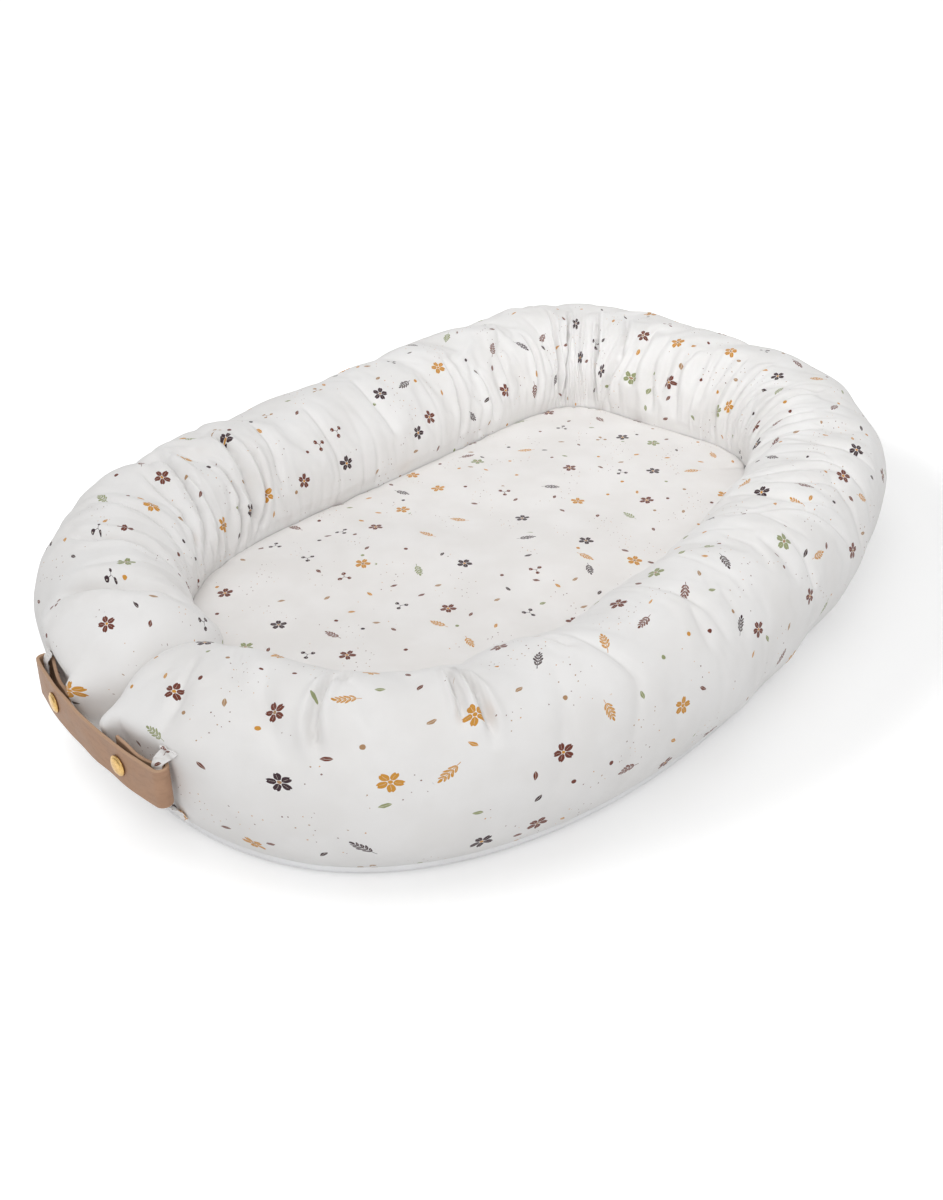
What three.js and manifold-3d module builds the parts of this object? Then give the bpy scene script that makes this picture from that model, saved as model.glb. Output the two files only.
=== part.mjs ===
// Infant lounger: a stuffed roll bent into a horseshoe round a flat padded base.
// A leather strap with two snap fasteners holds the roll's ends together at the foot end.
// Units are millimetres, +Z is up, the foot end faces -Y and the origin is under the middle.

import * as THREE from "three";
import { mergeVertices } from "three/addons/utils/BufferGeometryUtils.js";
import Module from "manifold-3d";

const wasm = await Module();
wasm.setup();

// Clearances
const GAP = 0.3; // between pieces that lie against each other
const CUT_OVERRUN = 2; // how far a cutting body runs past the face that it cuts

// Centre line of the roll, seen from above
const PATH_HALF_LENGTH = 379;
const PATH_HALF_WIDTH = 231.5;
const CORNER_SQUARENESS = 3.24; // exponent of the rounded oblong: 2 is an ellipse
const HEAD_LEAN_WIDTH = 24; // how far the head end leans to the left
const SIDE_BOW_DEPTH = 36; // how far the long sides bow to the right
const END_BOW_DEPTH = 42; // how far both short ends are set towards the foot
const FOOT_SLANT_LENGTH = 36; // how far the foot end's right corner reaches past its left one
const HEAD_NARROWING_SHARE = 0.096;
const PATH_POINTS = 240;

// Section of the roll
const ROLL_HALF_THICKNESS = 65;
const ROLL_HALF_HEIGHT = 74.6;
const ROLL_SINK_DEPTH = 7.5; // how much of the round section the floor presses flat
const THICKER_HEAD_SHARE = 0.041;
const THINNER_RIGHT_SHARE = 0.033;
const END_ROUNDING_RADIUS = 32; // rounding of the roll's two ends at the cleft
const END_TILTS = [Math.PI / 2, Math.PI / 3, Math.PI / 6, 0]; // of the sections round each end
const CLEFT_WIDTH = 0.8; // between the two flat end faces

// Casing of printed cotton
const CASING_THICKNESS = 1.5;
const OUTER_SEAM_HEIGHT = 14;
const INNER_TUCK_HEIGHT = 45; // the casing's inner edge, tucked down beside the mattress
const CASING_SEGMENTS = 11; // round the section, from seam to tuck

// Gathers of the casing: place along the roll from the cleft, and depth of each fold
const GATHER_PLACE_SHARES = [0.074, 0.12, 0.29, 0.42, 0.555, 0.604, 0.696, 0.85, 0.885, 0.93];
const GATHER_DEPTHS = [5, 4, 3, 4, 5, 5, 3, 8, 5, 6];
const STATION_COUNT = 34; // evenly spaced sections, before those of the gathers are added
const STATION_MERGE_DISTANCE = 20; // sections nearer to a gather than this are left out

// Where the strap draws the roll in
const STRAP_DRAW_IN_DEPTH = 6.5;
const DRAW_IN_HALF_LENGTH = 108;
const DRAW_IN_FADE_LENGTH = 60;
const DRAW_IN_FOCUS = 4; // how closely the draw-in keeps to the roll's widest line

// Padded base
const MATTRESS_EDGE_HEIGHT = 56;
const MATTRESS_CROWN_HEIGHT = 5;
const MATTRESS_RING_SHARES = [0, 0.25, 0.6]; // from the edge to the middle
const MATTRESS_COVER_THICKNESS = 1.5;
const PAD_SIDE_CLEARANCE = 1;
const BASE_THICKNESS = 1.5;
const BASE_RISE_HEIGHT = 8; // height of the base above the floor, which keeps the zip clear of it
const BASE_SLOPE_WIDTH = 14;

// Leather strap: a flat band with a fold at each end and a tail behind it
const STRAP_WIDTH = 32;
const STRAP_BOTTOM_HEIGHT = 48;
const STRAP_HALF_SPAN = 90; // from the middle to where the fold starts
const STRAP_SHIFT_DISTANCE = 2; // middle of the strap to the right of the cleft
const STRAP_BOW_RADIUS = 540;
const STRAP_STANDOFF_DEPTH = 7.6; // middle of the band from the roll's undisturbed surface
const LEATHER_THICKNESS = 2.6;
const FOLD_EYE_WIDTH = 8.4; // clear width inside the fold
const FOLD_LAP_LENGTH = 2; // straight end of the fold, where the tail starts
const TAIL_LENGTH_PAST_SNAP = 12;
const BAND_STEPS = 18;
const FOLD_STEPS = 8;
const TAIL_STEPS = 9;

// Snap fasteners
const SNAP_PLACE_DISTANCE = 50; // from the strap's middle
const CAP_DIAMETER = 16;
const CAP_RIM_HEIGHT = 1.1;
const CAP_DOME_HEIGHT = 1.9;
const CAP_DOME_SHARES = [0.35, 0.65, 0.85]; // rings of the dome, from its top to its rim
const CAP_POST_DIAMETER = 4;
const SOCKET_DIAMETER = 11.5;
const SOCKET_THICKNESS = 2;
const SOCKET_BORE_DIAMETER = 5.2;
const STUD_FLANGE_DIAMETER = 10;
const STUD_FLANGE_THICKNESS = 0.8;
const STUD_HEAD_DIAMETER = 4.4;
const STUD_HEAD_HEIGHT = 1.3;
const RIVET_FLANGE_DIAMETER = 9;
const RIVET_FLANGE_THICKNESS = 0.8;
const RIVET_POST_DIAMETER = 3.2;
const ROUND_STEPS = 20;

// Fabric loops that carry the strap
const LOOP_WIDTH = 12;
const LOOP_THICKNESS = 1.4;
const LOOP_DISTANCE_BEFORE_FOLD = 3; // from the loop's middle to where the strap's fold starts
const LOOP_STRAP_CLEARANCE = 3;
const LOOP_RUN_HEIGHT = 14; // height over which the loop goes back to the roll
const LOOP_SEAM_LENGTH = 8;

// Zip on the underside
const ZIP_HALF_LENGTH = 200;
const ZIP_SLOT_WIDTH = 14;
const TAPE_WIDTH = 14;
const TAPE_THICKNESS = 0.7;
const CHAIN_WIDTH = 2.2;
const CHAIN_HEIGHT = 1.6;
const CHAIN_GAP = 1.6; // lets the slider's middle post pass
const STOP_LENGTH = 4;
const STOP_WIDTH = 7;
const STOP_HEIGHT = 2.2;
const SLIDER_LENGTH = 12;
const SLIDER_WIDTH = 9;
const SLIDER_PLATE_THICKNESS = 1;
const SLIDER_POST_WIDTH = 1;
const SLIDER_POST_LENGTH = 5;
const LUG_LENGTH = 6;
const LUG_WIDTH = 2;
const LUG_HEIGHT = 2.4;
const LUG_WINDOW_LENGTH = 3.6;
const LUG_WINDOW_HEIGHT = 1.6;
const PULL_LENGTH = 24;
const PULL_WIDTH = 6;
const PULL_THICKNESS = 1.2;
const PULL_BAR_DIAMETER = 1;
const PULL_EYE_LENGTH = 4.5;
const PULL_EYE_WIDTH = 3.2;

// Materials
function finish(color, roughness, metalness) {
  return new THREE.MeshStandardMaterial({ color, roughness, metalness });
}
const COTTON = 0xf1ece4;
const LINING = 0xe9e8e6;
const FIBRE = 0xfafafa;
const FOAM = 0xf3ead2;
const LEATHER = 0xb08a6b;
const BRASS = 0xb9985a;
const STEEL = 0x9a9da0;
const ZIP_NYLON = 0xe4e1da;

const part = new THREE.Group();

function addPiece(name, geometry, material, parent = part) {
  const mesh = new THREE.Mesh(geometry, material);
  mesh.name = name;
  parent.add(mesh);
  return mesh;
}

// Solids and booleans
function toSolid(geometry) {
  const bare = geometry.clone();
  bare.deleteAttribute("normal");
  bare.deleteAttribute("uv");
  const merged = mergeVertices(bare);
  return new wasm.Manifold(
    new wasm.Mesh({
      numProp: 3,
      vertProperties: merged.attributes.position.array,
      triVerts: new Uint32Array(merged.index.array),
    }),
  );
}

function toGeometry(solid) {
  const mesh = solid.getMesh();
  const geometry = new THREE.BufferGeometry();
  geometry.setAttribute("position", new THREE.BufferAttribute(mesh.vertProperties, 3));
  geometry.setIndex(new THREE.BufferAttribute(mesh.triVerts, 1));
  return geometry;
}

function join(...geometries) {
  return toGeometry(geometries.map(toSolid).reduce((sum, solid) => sum.add(solid)));
}

function cut(geometry, ...tools) {
  return toGeometry(tools.map(toSolid).reduce((rest, tool) => rest.subtract(tool), toSolid(geometry)));
}

function box(sizeX, sizeY, sizeZ, centreX, centreY, centreZ) {
  return new THREE.BoxGeometry(sizeX, sizeY, sizeZ).translate(centreX, centreY, centreZ);
}

// Closed mesh from rows of points. Each row is a closed ring, and the first and last rows
// are closed by a fan round a pole.
function ringSkin(rows, firstPole, lastPole) {
  const positions = rows.flat().flatMap((p) => [p.x, p.y, p.z]);
  const width = rows[0].length;
  const poleIndex = rows.length * width;
  positions.push(firstPole.x, firstPole.y, firstPole.z, lastPole.x, lastPole.y, lastPole.z);
  const faces = [];
  for (let i = 0; i + 1 < rows.length; i++) {
    for (let j = 0; j < width; j++) {
      const a = i * width + j;
      const b = i * width + ((j + 1) % width);
      faces.push(a, a + width, b, b, a + width, b + width);
    }
  }
  const lastRow = (rows.length - 1) * width;
  for (let j = 0; j < width; j++) {
    const next = (j + 1) % width;
    faces.push(poleIndex, j, next);
    faces.push(poleIndex + 1, lastRow + next, lastRow + j);
  }
  const geometry = new THREE.BufferGeometry();
  geometry.setAttribute("position", new THREE.Float32BufferAttribute(positions, 3));
  geometry.setIndex(faces);
  return geometry;
}

// Centre line
function signedPower(value, exponent) {
  return Math.sign(value) * Math.abs(value) ** exponent;
}

function centreLinePoint(angle) {
  const across = signedPower(Math.cos(angle), 2 / CORNER_SQUARENESS);
  const along = signedPower(Math.sin(angle), 2 / CORNER_SQUARENESS);
  const footSide = along < 0 ? along ** 2 : 0;
  const x =
    PATH_HALF_WIDTH * across * (1 - HEAD_NARROWING_SHARE * along) -
    HEAD_LEAN_WIDTH * along -
    SIDE_BOW_DEPTH * (along ** 2 - 1 / 2);
  const endBow = END_BOW_DEPTH * (across ** 2 - 1 / 2);
  const y = PATH_HALF_LENGTH * along + endBow - FOOT_SLANT_LENGTH * across * footSide;
  return new THREE.Vector3(x, y, 0);
}

function makeCentreLine() {
  const points = [];
  for (let i = 0; i < PATH_POINTS; i++) {
    points.push(centreLinePoint(-Math.PI / 2 + (2 * Math.PI * i) / PATH_POINTS));
  }
  const curve = new THREE.CatmullRomCurve3(points, true);
  curve.arcLengthDivisions = 4 * PATH_POINTS;
  return curve;
}

const centreLine = makeCentreLine();
const pathLength = centreLine.getLength();

// Place on the centre line at a distance from the cleft, anticlockwise from above.
function pathFrame(distance) {
  const share = (((distance / pathLength) % 1) + 1) % 1;
  const centre = centreLine.getPointAt(share);
  const tangent = centreLine.getTangentAt(share);
  const outward = new THREE.Vector3(tangent.y, -tangent.x, 0);
  const swell =
    1 +
    (THICKER_HEAD_SHARE * centre.y) / PATH_HALF_LENGTH -
    (THINNER_RIGHT_SHARE * centre.x) / PATH_HALF_WIDTH;
  return { centre, tangent, outward, swell };
}

// Sections of the roll's body: one at each gather, and evenly spaced ones between them.
function bodyStations() {
  const start = CLEFT_WIDTH / 2 + END_ROUNDING_RADIUS;
  const fixed = GATHER_PLACE_SHARES.map((share, i) => ({
    distance: share * pathLength,
    gather: GATHER_DEPTHS[i],
  }));
  fixed.push({ distance: DRAW_IN_HALF_LENGTH, gather: 0 });
  fixed.push({ distance: pathLength - DRAW_IN_HALF_LENGTH, gather: 0 });
  const even = [];
  for (let i = 1; i < STATION_COUNT; i++) {
    even.push({ distance: start + ((pathLength - 2 * start) * i) / STATION_COUNT, gather: 0 });
  }
  const isClear = (station) =>
    fixed.every((other) => Math.abs(other.distance - station.distance) > STATION_MERGE_DISTANCE);
  return [...fixed, ...even.filter(isClear)].sort((a, b) => a.distance - b.distance);
}

// A section with a tilt lies on the rounding of the end on its side of the cleft.
const stations = [
  ...END_TILTS.map((tilt) => ({ tilt, side: 1, gather: 0 })),
  ...bodyStations().map((station) => ({ tilt: null, ...station })),
  ...[...END_TILTS].reverse().map((tilt) => ({ tilt, side: -1, gather: 0 })),
];

const sectionMiddle = ROLL_HALF_HEIGHT - ROLL_SINK_DEPTH;

// Angle round the section at a height: 0 is the outermost point, 90 degrees the top.
function angleAtHeight(height) {
  return Math.asin((height - sectionMiddle) / ROLL_HALF_HEIGHT);
}

function drawInAt(distance, angle) {
  const fromCleft = Math.min(distance, pathLength - distance);
  const fadeEnd = DRAW_IN_HALF_LENGTH + DRAW_IN_FADE_LENGTH;
  const fade = THREE.MathUtils.smoothstep(fromCleft, DRAW_IN_HALF_LENGTH, fadeEnd);
  return STRAP_DRAW_IN_DEPTH * (1 - fade) * Math.max(0, Math.cos(angle)) ** DRAW_IN_FOCUS;
}

// Point of the roll's surface, or of a layer that lies further in. The gathers are deepest
// on the inner side, and the ends are rounded.
function rollPoint(station, angle, inset, floor = 0) {
  let distance = station.distance;
  let shrink = inset;
  if (station.tilt !== null) {
    const reach = (END_ROUNDING_RADIUS - inset) * Math.sin(station.tilt);
    const fromEnd = CLEFT_WIDTH / 2 + END_ROUNDING_RADIUS - reach;
    distance = station.side > 0 ? fromEnd : pathLength - fromEnd;
    shrink = END_ROUNDING_RADIUS - (END_ROUNDING_RADIUS - inset) * Math.cos(station.tilt);
  }
  const { centre, outward, swell } = pathFrame(distance);
  const pulled = (station.gather * (1 - Math.cos(angle))) / 2 + drawInAt(distance, angle);
  const reach = (ROLL_HALF_THICKNESS * swell - shrink - pulled) * Math.cos(angle);
  const height = sectionMiddle * swell + (ROLL_HALF_HEIGHT * swell - shrink - pulled) * Math.sin(angle);
  return centre.clone().addScaledVector(outward, reach).setZ(Math.max(height, floor));
}

const outerSeamAngle = angleAtHeight(OUTER_SEAM_HEIGHT);
const innerTuckAngle = Math.PI - angleAtHeight(INNER_TUCK_HEIGHT);
const mattressEdgeAngle = Math.PI - angleAtHeight(MATTRESS_EDGE_HEIGHT);
const contactAngle = angleAtHeight(0);

function casingAngles() {
  const angles = [];
  for (let j = 0; j <= CASING_SEGMENTS; j++) {
    angles.push(outerSeamAngle + ((innerTuckAngle - outerSeamAngle) * j) / CASING_SEGMENTS);
  }
  return angles;
}

function lowerAngles() {
  const innerContact = Math.PI - contactAngle;
  return [(innerTuckAngle + innerContact) / 2, innerContact, 2 * Math.PI + contactAngle,
    2 * Math.PI + (contactAngle + outerSeamAngle) / 2];
}

// Printed casing of the roll: a sleeve with closed ends, open below where the base is sewn in.
function bolsterCover() {
  const angles = casingAngles();
  const rows = stations.map((station) => [
    ...angles.map((angle) => rollPoint(station, angle, 0)),
    ...[...angles].reverse().map((angle) => rollPoint(station, angle, CASING_THICKNESS)),
  ]);
  return sleeveSkin(rows, angles.length);
}

// Closed mesh of an open sleeve: each row runs out along the outer face and back along the
// inner one. The end walls are fans of both faces to the middle of the row's open side.
function sleeveSkin(rows, half) {
  const width = 2 * half;
  const positions = rows.flat().flatMap((p) => [p.x, p.y, p.z]);
  const faces = [];
  for (let i = 0; i + 1 < rows.length; i++) {
    for (let j = 0; j < width; j++) {
      const a = i * width + j;
      const b = i * width + ((j + 1) % width);
      // Both faces are split along the same diagonal, so they stay parallel.
      if (j < half) faces.push(a, a + width, b, b, a + width, b + width);
      else faces.push(a, a + width, b + width, a, b + width, b);
    }
  }
  for (const end of [0, rows.length - 1]) {
    const outerPole = positions.length / 3;
    const innerPole = outerPole + 1;
    for (const [from, to] of [[0, half - 1], [half, width - 1]]) {
      const pole = rows[end][from].clone().add(rows[end][to]).multiplyScalar(1 / 2);
      positions.push(pole.x, pole.y, pole.z);
    }
    const start = end * width;
    const fan = [];
    for (let j = 0; j + 1 < half; j++) fan.push([outerPole, start + j + 1, start + j]);
    for (let j = half; j + 1 < width; j++) fan.push([innerPole, start + j + 1, start + j]);
    fan.push([outerPole, start + half, start + half - 1], [outerPole, innerPole, start + half]);
    fan.push([outerPole, start, start + width - 1], [outerPole, start + width - 1, innerPole]);
    for (const [a, b, c] of fan) faces.push(...(end === 0 ? [a, c, b] : [a, b, c]));
  }
  const geometry = new THREE.BufferGeometry();
  geometry.setAttribute("position", new THREE.Float32BufferAttribute(positions, 3));
  geometry.setIndex(faces);
  return geometry;
}

function middleOf(ring) {
  return ring.reduce((sum, p) => sum.add(p), new THREE.Vector3()).multiplyScalar(1 / ring.length);
}

// Stuffed core of the roll, inside the casing and on the base.
function bolsterFilling() {
  const inset = CASING_THICKNESS + GAP;
  const angles = [...casingAngles(), ...lowerAngles()];
  const rows = stations.map((station) =>
    angles.map((angle) => rollPoint(station, angle, inset, BASE_THICKNESS + GAP)),
  );
  return ringSkin(rows, middleOf(rows[0]), middleOf(rows[rows.length - 1]));
}

// Sections that the flat pieces follow: all but the rounded ends.
const fullStations = stations.filter((station) => station.tilt === null || station.tilt === 0);

// Closed mesh between two sheets of rings that share their first and last ring's outline.
function sheetSkin(topRings, bottomRings, topPole, bottomPole) {
  const profile = [...topRings, ...[...bottomRings].reverse()];
  return ringSkin(profile, topPole, bottomPole);
}

function poleOf(ring, height) {
  return middleOf(ring).setZ(height);
}

// Plain underside: sewn to the casing at the outer seam, flat under the roll, raised in the middle.
function basePanelRings(lift) {
  const innerContact = Math.PI - contactAngle;
  const edgeRoll = fullStations.map((station) => {
    const point = rollPoint(station, outerSeamAngle, lift);
    return point.setZ(point.z - GAP);
  });
  const middleRoll = fullStations.map((station) =>
    rollPoint(station, (contactAngle + outerSeamAngle) / 2, lift, lift));
  const contactRing = (angle) =>
    fullStations.map((station) => rollPoint(station, angle, lift).setZ(lift));
  const outerContactRing = contactRing(contactAngle);
  const innerContactRing = contactRing(innerContact);
  const raisedRing = innerContactRing.map((point, i) => {
    const { outward } = pathFrame(stationDistance(fullStations[i]));
    return point.clone().addScaledVector(outward, -BASE_SLOPE_WIDTH).setZ(BASE_RISE_HEIGHT + lift);
  });
  return [raisedRing, innerContactRing, outerContactRing, middleRoll, edgeRoll];
}

function stationDistance(station) {
  if (station.tilt === null) return station.distance;
  const fromEnd = CLEFT_WIDTH / 2 + END_ROUNDING_RADIUS;
  return station.side > 0 ? fromEnd : pathLength - fromEnd;
}

const baseMiddle = poleOf(basePanelRings(0)[0], 0);

function basePanel() {
  const top = basePanelRings(BASE_THICKNESS);
  const bottom = basePanelRings(0);
  const topPole = poleOf(top[0], BASE_RISE_HEIGHT + BASE_THICKNESS);
  const blank = sheetSkin(top, bottom, topPole, poleOf(top[0], BASE_RISE_HEIGHT));
  const slotLength = 2 * (ZIP_HALF_LENGTH + STOP_LENGTH + GAP);
  const slotHeight = BASE_THICKNESS + 2 * CUT_OVERRUN;
  const slotMiddle = BASE_RISE_HEIGHT + BASE_THICKNESS / 2;
  return cut(blank, box(ZIP_SLOT_WIDTH, slotLength, slotHeight, baseMiddle.x, baseMiddle.y, slotMiddle));
}

// Outline of the lying surface, beside the roll at the mattress's edge.
function mattressRing(inset, height) {
  return fullStations.map((station) => {
    const edge = rollPoint(station, mattressEdgeAngle, 0);
    const { outward } = pathFrame(stationDistance(station));
    return edge.addScaledVector(outward, -inset).setZ(height);
  });
}

function crownRing(inset, height, share) {
  const edge = mattressRing(inset, height);
  const middle = poleOf(edge, height);
  const top = height + MATTRESS_CROWN_HEIGHT * crownShare(share);
  return edge.map((point) => point.lerp(middle, share).setZ(top));
}

function crownShare(share) {
  return 1 - (1 - share) ** 2;
}

const padBottom = BASE_RISE_HEIGHT + BASE_THICKNESS + GAP;
const padEdgeTop = MATTRESS_EDGE_HEIGHT - MATTRESS_COVER_THICKNESS - GAP;

// Foam pad with a slight crown.
function mattressPad() {
  const inset = GAP + PAD_SIDE_CLEARANCE;
  const top = [...MATTRESS_RING_SHARES].reverse().map((share) => crownRing(inset, padEdgeTop, share));
  const bottom = mattressRing(inset, padBottom);
  const pole = poleOf(top[0], padEdgeTop + MATTRESS_CROWN_HEIGHT);
  return ringSkin([...top, bottom], pole, poleOf(bottom, padBottom));
}

// Printed top panel of the mattress, lying on the pad.
function mattressTopPanel() {
  const top = [];
  const bottom = [];
  for (const share of [...MATTRESS_RING_SHARES].reverse()) {
    top.push(crownRing(GAP, MATTRESS_EDGE_HEIGHT, share));
    bottom.push(crownRing(GAP, MATTRESS_EDGE_HEIGHT - MATTRESS_COVER_THICKNESS, share));
  }
  const topPole = poleOf(top[0], MATTRESS_EDGE_HEIGHT + MATTRESS_CROWN_HEIGHT);
  const bottomHeight = MATTRESS_EDGE_HEIGHT - MATTRESS_COVER_THICKNESS + MATTRESS_CROWN_HEIGHT;
  const bottomPole = poleOf(top[0], bottomHeight);
  return sheetSkin(top, bottom, topPole, bottomPole);
}

const coverMesh = addPiece("bolster_cover", bolsterCover(), finish(COTTON, 0.9, 0));
addPiece("bolster_filling", bolsterFilling(), finish(FIBRE, 1, 0));
addPiece("base_panel", basePanel(), finish(LINING, 0.9, 0));
addPiece("mattress_pad", mattressPad(), finish(FOAM, 0.95, 0));
addPiece("mattress_top_panel", mattressTopPanel(), finish(COTTON, 0.9, 0));

// Strap frame: X along the band, +Y towards the roll, origin in the middle of the band at the cleft.
const strapGroup = new THREE.Group();
const cleftFrame = pathFrame(0);
strapGroup.position
  .copy(cleftFrame.centre)
  .addScaledVector(cleftFrame.tangent, STRAP_SHIFT_DISTANCE)
  .addScaledVector(cleftFrame.outward, ROLL_HALF_THICKNESS * cleftFrame.swell + STRAP_STANDOFF_DEPTH);
strapGroup.rotation.z = Math.atan2(cleftFrame.tangent.y, cleftFrame.tangent.x);
part.add(strapGroup);

// Point at a distance along the bowed band and a depth behind its middle layer.
function bandPoint(along, depth) {
  const turn = along / STRAP_BOW_RADIUS;
  return new THREE.Vector2(
    (STRAP_BOW_RADIUS - depth) * Math.sin(turn),
    STRAP_BOW_RADIUS - (STRAP_BOW_RADIUS - depth) * Math.cos(turn),
  );
}

const snapSeparation = GAP + SOCKET_THICKNESS + GAP + STUD_FLANGE_THICKNESS + GAP;
const foldDepth = FOLD_EYE_WIDTH + LEATHER_THICKNESS; // between the middle layers of band and tail
const snapDepth = snapSeparation + LEATHER_THICKNESS;

// Outline of a ribbon of even thickness along a line of points.
function ribbonOutline(points, thickness) {
  const left = [];
  const right = [];
  points.forEach((point, i) => {
    const before = points[Math.max(0, i - 1)];
    const after = points[Math.min(points.length - 1, i + 1)];
    const into = point.clone().sub(before).normalize();
    const out = after.clone().sub(point).normalize();
    const along = into.add(out).normalize();
    const reference = i + 1 < points.length ? out : along;
    const mitre = thickness / 2 / Math.max(1 / 2, along.dot(reference));
    left.push(new THREE.Vector2(point.x - along.y * mitre, point.y + along.x * mitre));
    right.push(new THREE.Vector2(point.x + along.y * mitre, point.y - along.x * mitre));
  });
  return [...left, ...right.reverse()];
}

function ribbon(points, thickness, width) {
  const shape = new THREE.Shape(ribbonOutline(points, thickness));
  return new THREE.ExtrudeGeometry(shape, { depth: width, bevelEnabled: false });
}

// Middle line of the fold on one side, from the band to where the tail starts.
function foldLine(side) {
  const points = [];
  for (let i = 1; i <= FOLD_STEPS; i++) {
    const angle = (Math.PI * i) / FOLD_STEPS;
    const along = STRAP_HALF_SPAN + (foldDepth / 2) * Math.sin(angle);
    points.push(bandPoint(side * along, (foldDepth / 2) * (1 - Math.cos(angle))));
  }
  points.push(bandPoint(side * (STRAP_HALF_SPAN - FOLD_LAP_LENGTH), foldDepth));
  return points;
}

function bandLine() {
  const points = [];
  for (let i = 0; i <= BAND_STEPS; i++) {
    points.push(bandPoint(STRAP_HALF_SPAN * ((2 * i) / BAND_STEPS - 1), 0));
  }
  return [...foldLine(-1).reverse(), ...points, ...foldLine(1)];
}

function tailLine(side) {
  const points = [];
  const start = STRAP_HALF_SPAN - FOLD_LAP_LENGTH - GAP;
  const end = SNAP_PLACE_DISTANCE - TAIL_LENGTH_PAST_SNAP;
  const closingLength = start - SNAP_PLACE_DISTANCE - SOCKET_DIAMETER / 2;
  for (let i = 0; i <= TAIL_STEPS; i++) {
    const along = start + ((end - start) * i) / TAIL_STEPS;
    const closing = THREE.MathUtils.smoothstep(start - along, 0, closingLength);
    points.push(bandPoint(side * along, foldDepth + (snapDepth - foldDepth) * closing));
  }
  return points;
}

function roundBar(diameter, length) {
  return new THREE.CylinderGeometry(diameter / 2, diameter / 2, length, ROUND_STEPS);
}

// Cutter through a layer of the strap at a snap, lying along the layer's own normal.
function snapHole(side, depth, diameter) {
  const middle = bandPoint(side * SNAP_PLACE_DISTANCE, depth);
  const turn = (side * SNAP_PLACE_DISTANCE) / STRAP_BOW_RADIUS;
  return roundBar(diameter, LEATHER_THICKNESS + 2 * CUT_OVERRUN)
    .rotateZ(turn)
    .translate(middle.x, middle.y, STRAP_WIDTH / 2);
}

function strapBand() {
  const band = ribbon(bandLine(), LEATHER_THICKNESS, STRAP_WIDTH);
  const diameter = CAP_POST_DIAMETER + 2 * GAP;
  return cut(band, snapHole(-1, 0, diameter), snapHole(1, 0, diameter)).translate(0, 0, STRAP_BOTTOM_HEIGHT);
}

function strapTail(side) {
  const tail = ribbon(tailLine(side), LEATHER_THICKNESS, STRAP_WIDTH);
  const hole = snapHole(side, snapDepth, RIVET_POST_DIAMETER + 2 * GAP);
  return cut(tail, hole).translate(0, 0, STRAP_BOTTOM_HEIGHT);
}

// Turned piece from a closed profile of radius and depth, where depth grows towards the roll.
function turned(profile) {
  const points = profile.map(([radius, depth]) => new THREE.Vector2(radius, depth));
  return new THREE.LatheGeometry(points, ROUND_STEPS);
}

const bandFace = LEATHER_THICKNESS / 2; // from the middle layer to either face
const socketStart = bandFace + GAP;
const studStart = socketStart + SOCKET_THICKNESS + GAP;
const rivetStart = snapDepth + bandFace + GAP;

function snapCap() {
  const seat = -bandFace - GAP;
  const rim = CAP_DIAMETER / 2;
  const post = CAP_POST_DIAMETER / 2;
  const postEnd = socketStart + GAP;
  const profile = [[0, seat - CAP_RIM_HEIGHT - CAP_DOME_HEIGHT]];
  for (const share of CAP_DOME_SHARES) {
    profile.push([rim * share, seat - CAP_RIM_HEIGHT - CAP_DOME_HEIGHT * Math.sqrt(1 - share ** 2)]);
  }
  profile.push([rim, seat - CAP_RIM_HEIGHT], [rim, seat], [post, seat], [post, postEnd], [0, postEnd]);
  return turned(profile);
}

function snapSocket() {
  const bore = SOCKET_BORE_DIAMETER / 2;
  const rim = SOCKET_DIAMETER / 2;
  const end = socketStart + SOCKET_THICKNESS;
  return turned([[bore, socketStart], [rim, socketStart], [rim, end], [bore, end], [bore, socketStart]]);
}

function snapStud() {
  const flange = STUD_FLANGE_DIAMETER / 2;
  const head = STUD_HEAD_DIAMETER / 2;
  const end = studStart + STUD_FLANGE_THICKNESS;
  return turned([[0, studStart - STUD_HEAD_HEIGHT], [head, studStart - STUD_HEAD_HEIGHT], [head, studStart],
    [flange, studStart], [flange, end], [0, end]]);
}

function snapRivet() {
  const flange = RIVET_FLANGE_DIAMETER / 2;
  const post = RIVET_POST_DIAMETER / 2;
  const postStart = studStart + STUD_FLANGE_THICKNESS + GAP;
  const end = rivetStart + RIVET_FLANGE_THICKNESS;
  return turned([[0, postStart], [post, postStart], [post, rivetStart],
    [flange, rivetStart], [flange, end], [0, end]]);
}

// Frame of one snap: +Y runs through the layers towards the roll.
function snapGroup(side) {
  const group = new THREE.Group();
  const middle = bandPoint(side * SNAP_PLACE_DISTANCE, 0);
  group.position.set(middle.x, middle.y, STRAP_BOTTOM_HEIGHT + STRAP_WIDTH / 2);
  group.rotation.z = (side * SNAP_PLACE_DISTANCE) / STRAP_BOW_RADIUS;
  strapGroup.add(group);
  return group;
}

const SIDES = { left: -1, right: 1 };

addPiece("strap_band", strapBand(), finish(LEATHER, 0.55, 0), strapGroup);
for (const [word, side] of Object.entries(SIDES)) {
  addPiece("strap_tail_" + word, strapTail(side), finish(LEATHER, 0.6, 0), strapGroup);
  const snap = snapGroup(side);
  addPiece("snap_cap_" + word, snapCap(), finish(BRASS, 0.3, 1), snap);
  addPiece("snap_socket_" + word, snapSocket(), finish(BRASS, 0.35, 1), snap);
  addPiece("snap_stud_" + word, snapStud(), finish(BRASS, 0.35, 1), snap);
  addPiece("snap_rivet_" + word, snapRivet(), finish(BRASS, 0.35, 1), snap);
}

// How far behind the band's middle layer the roll's surface lies, at a place along the band.
part.updateMatrixWorld(true);
const raycaster = new THREE.Raycaster();

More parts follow.
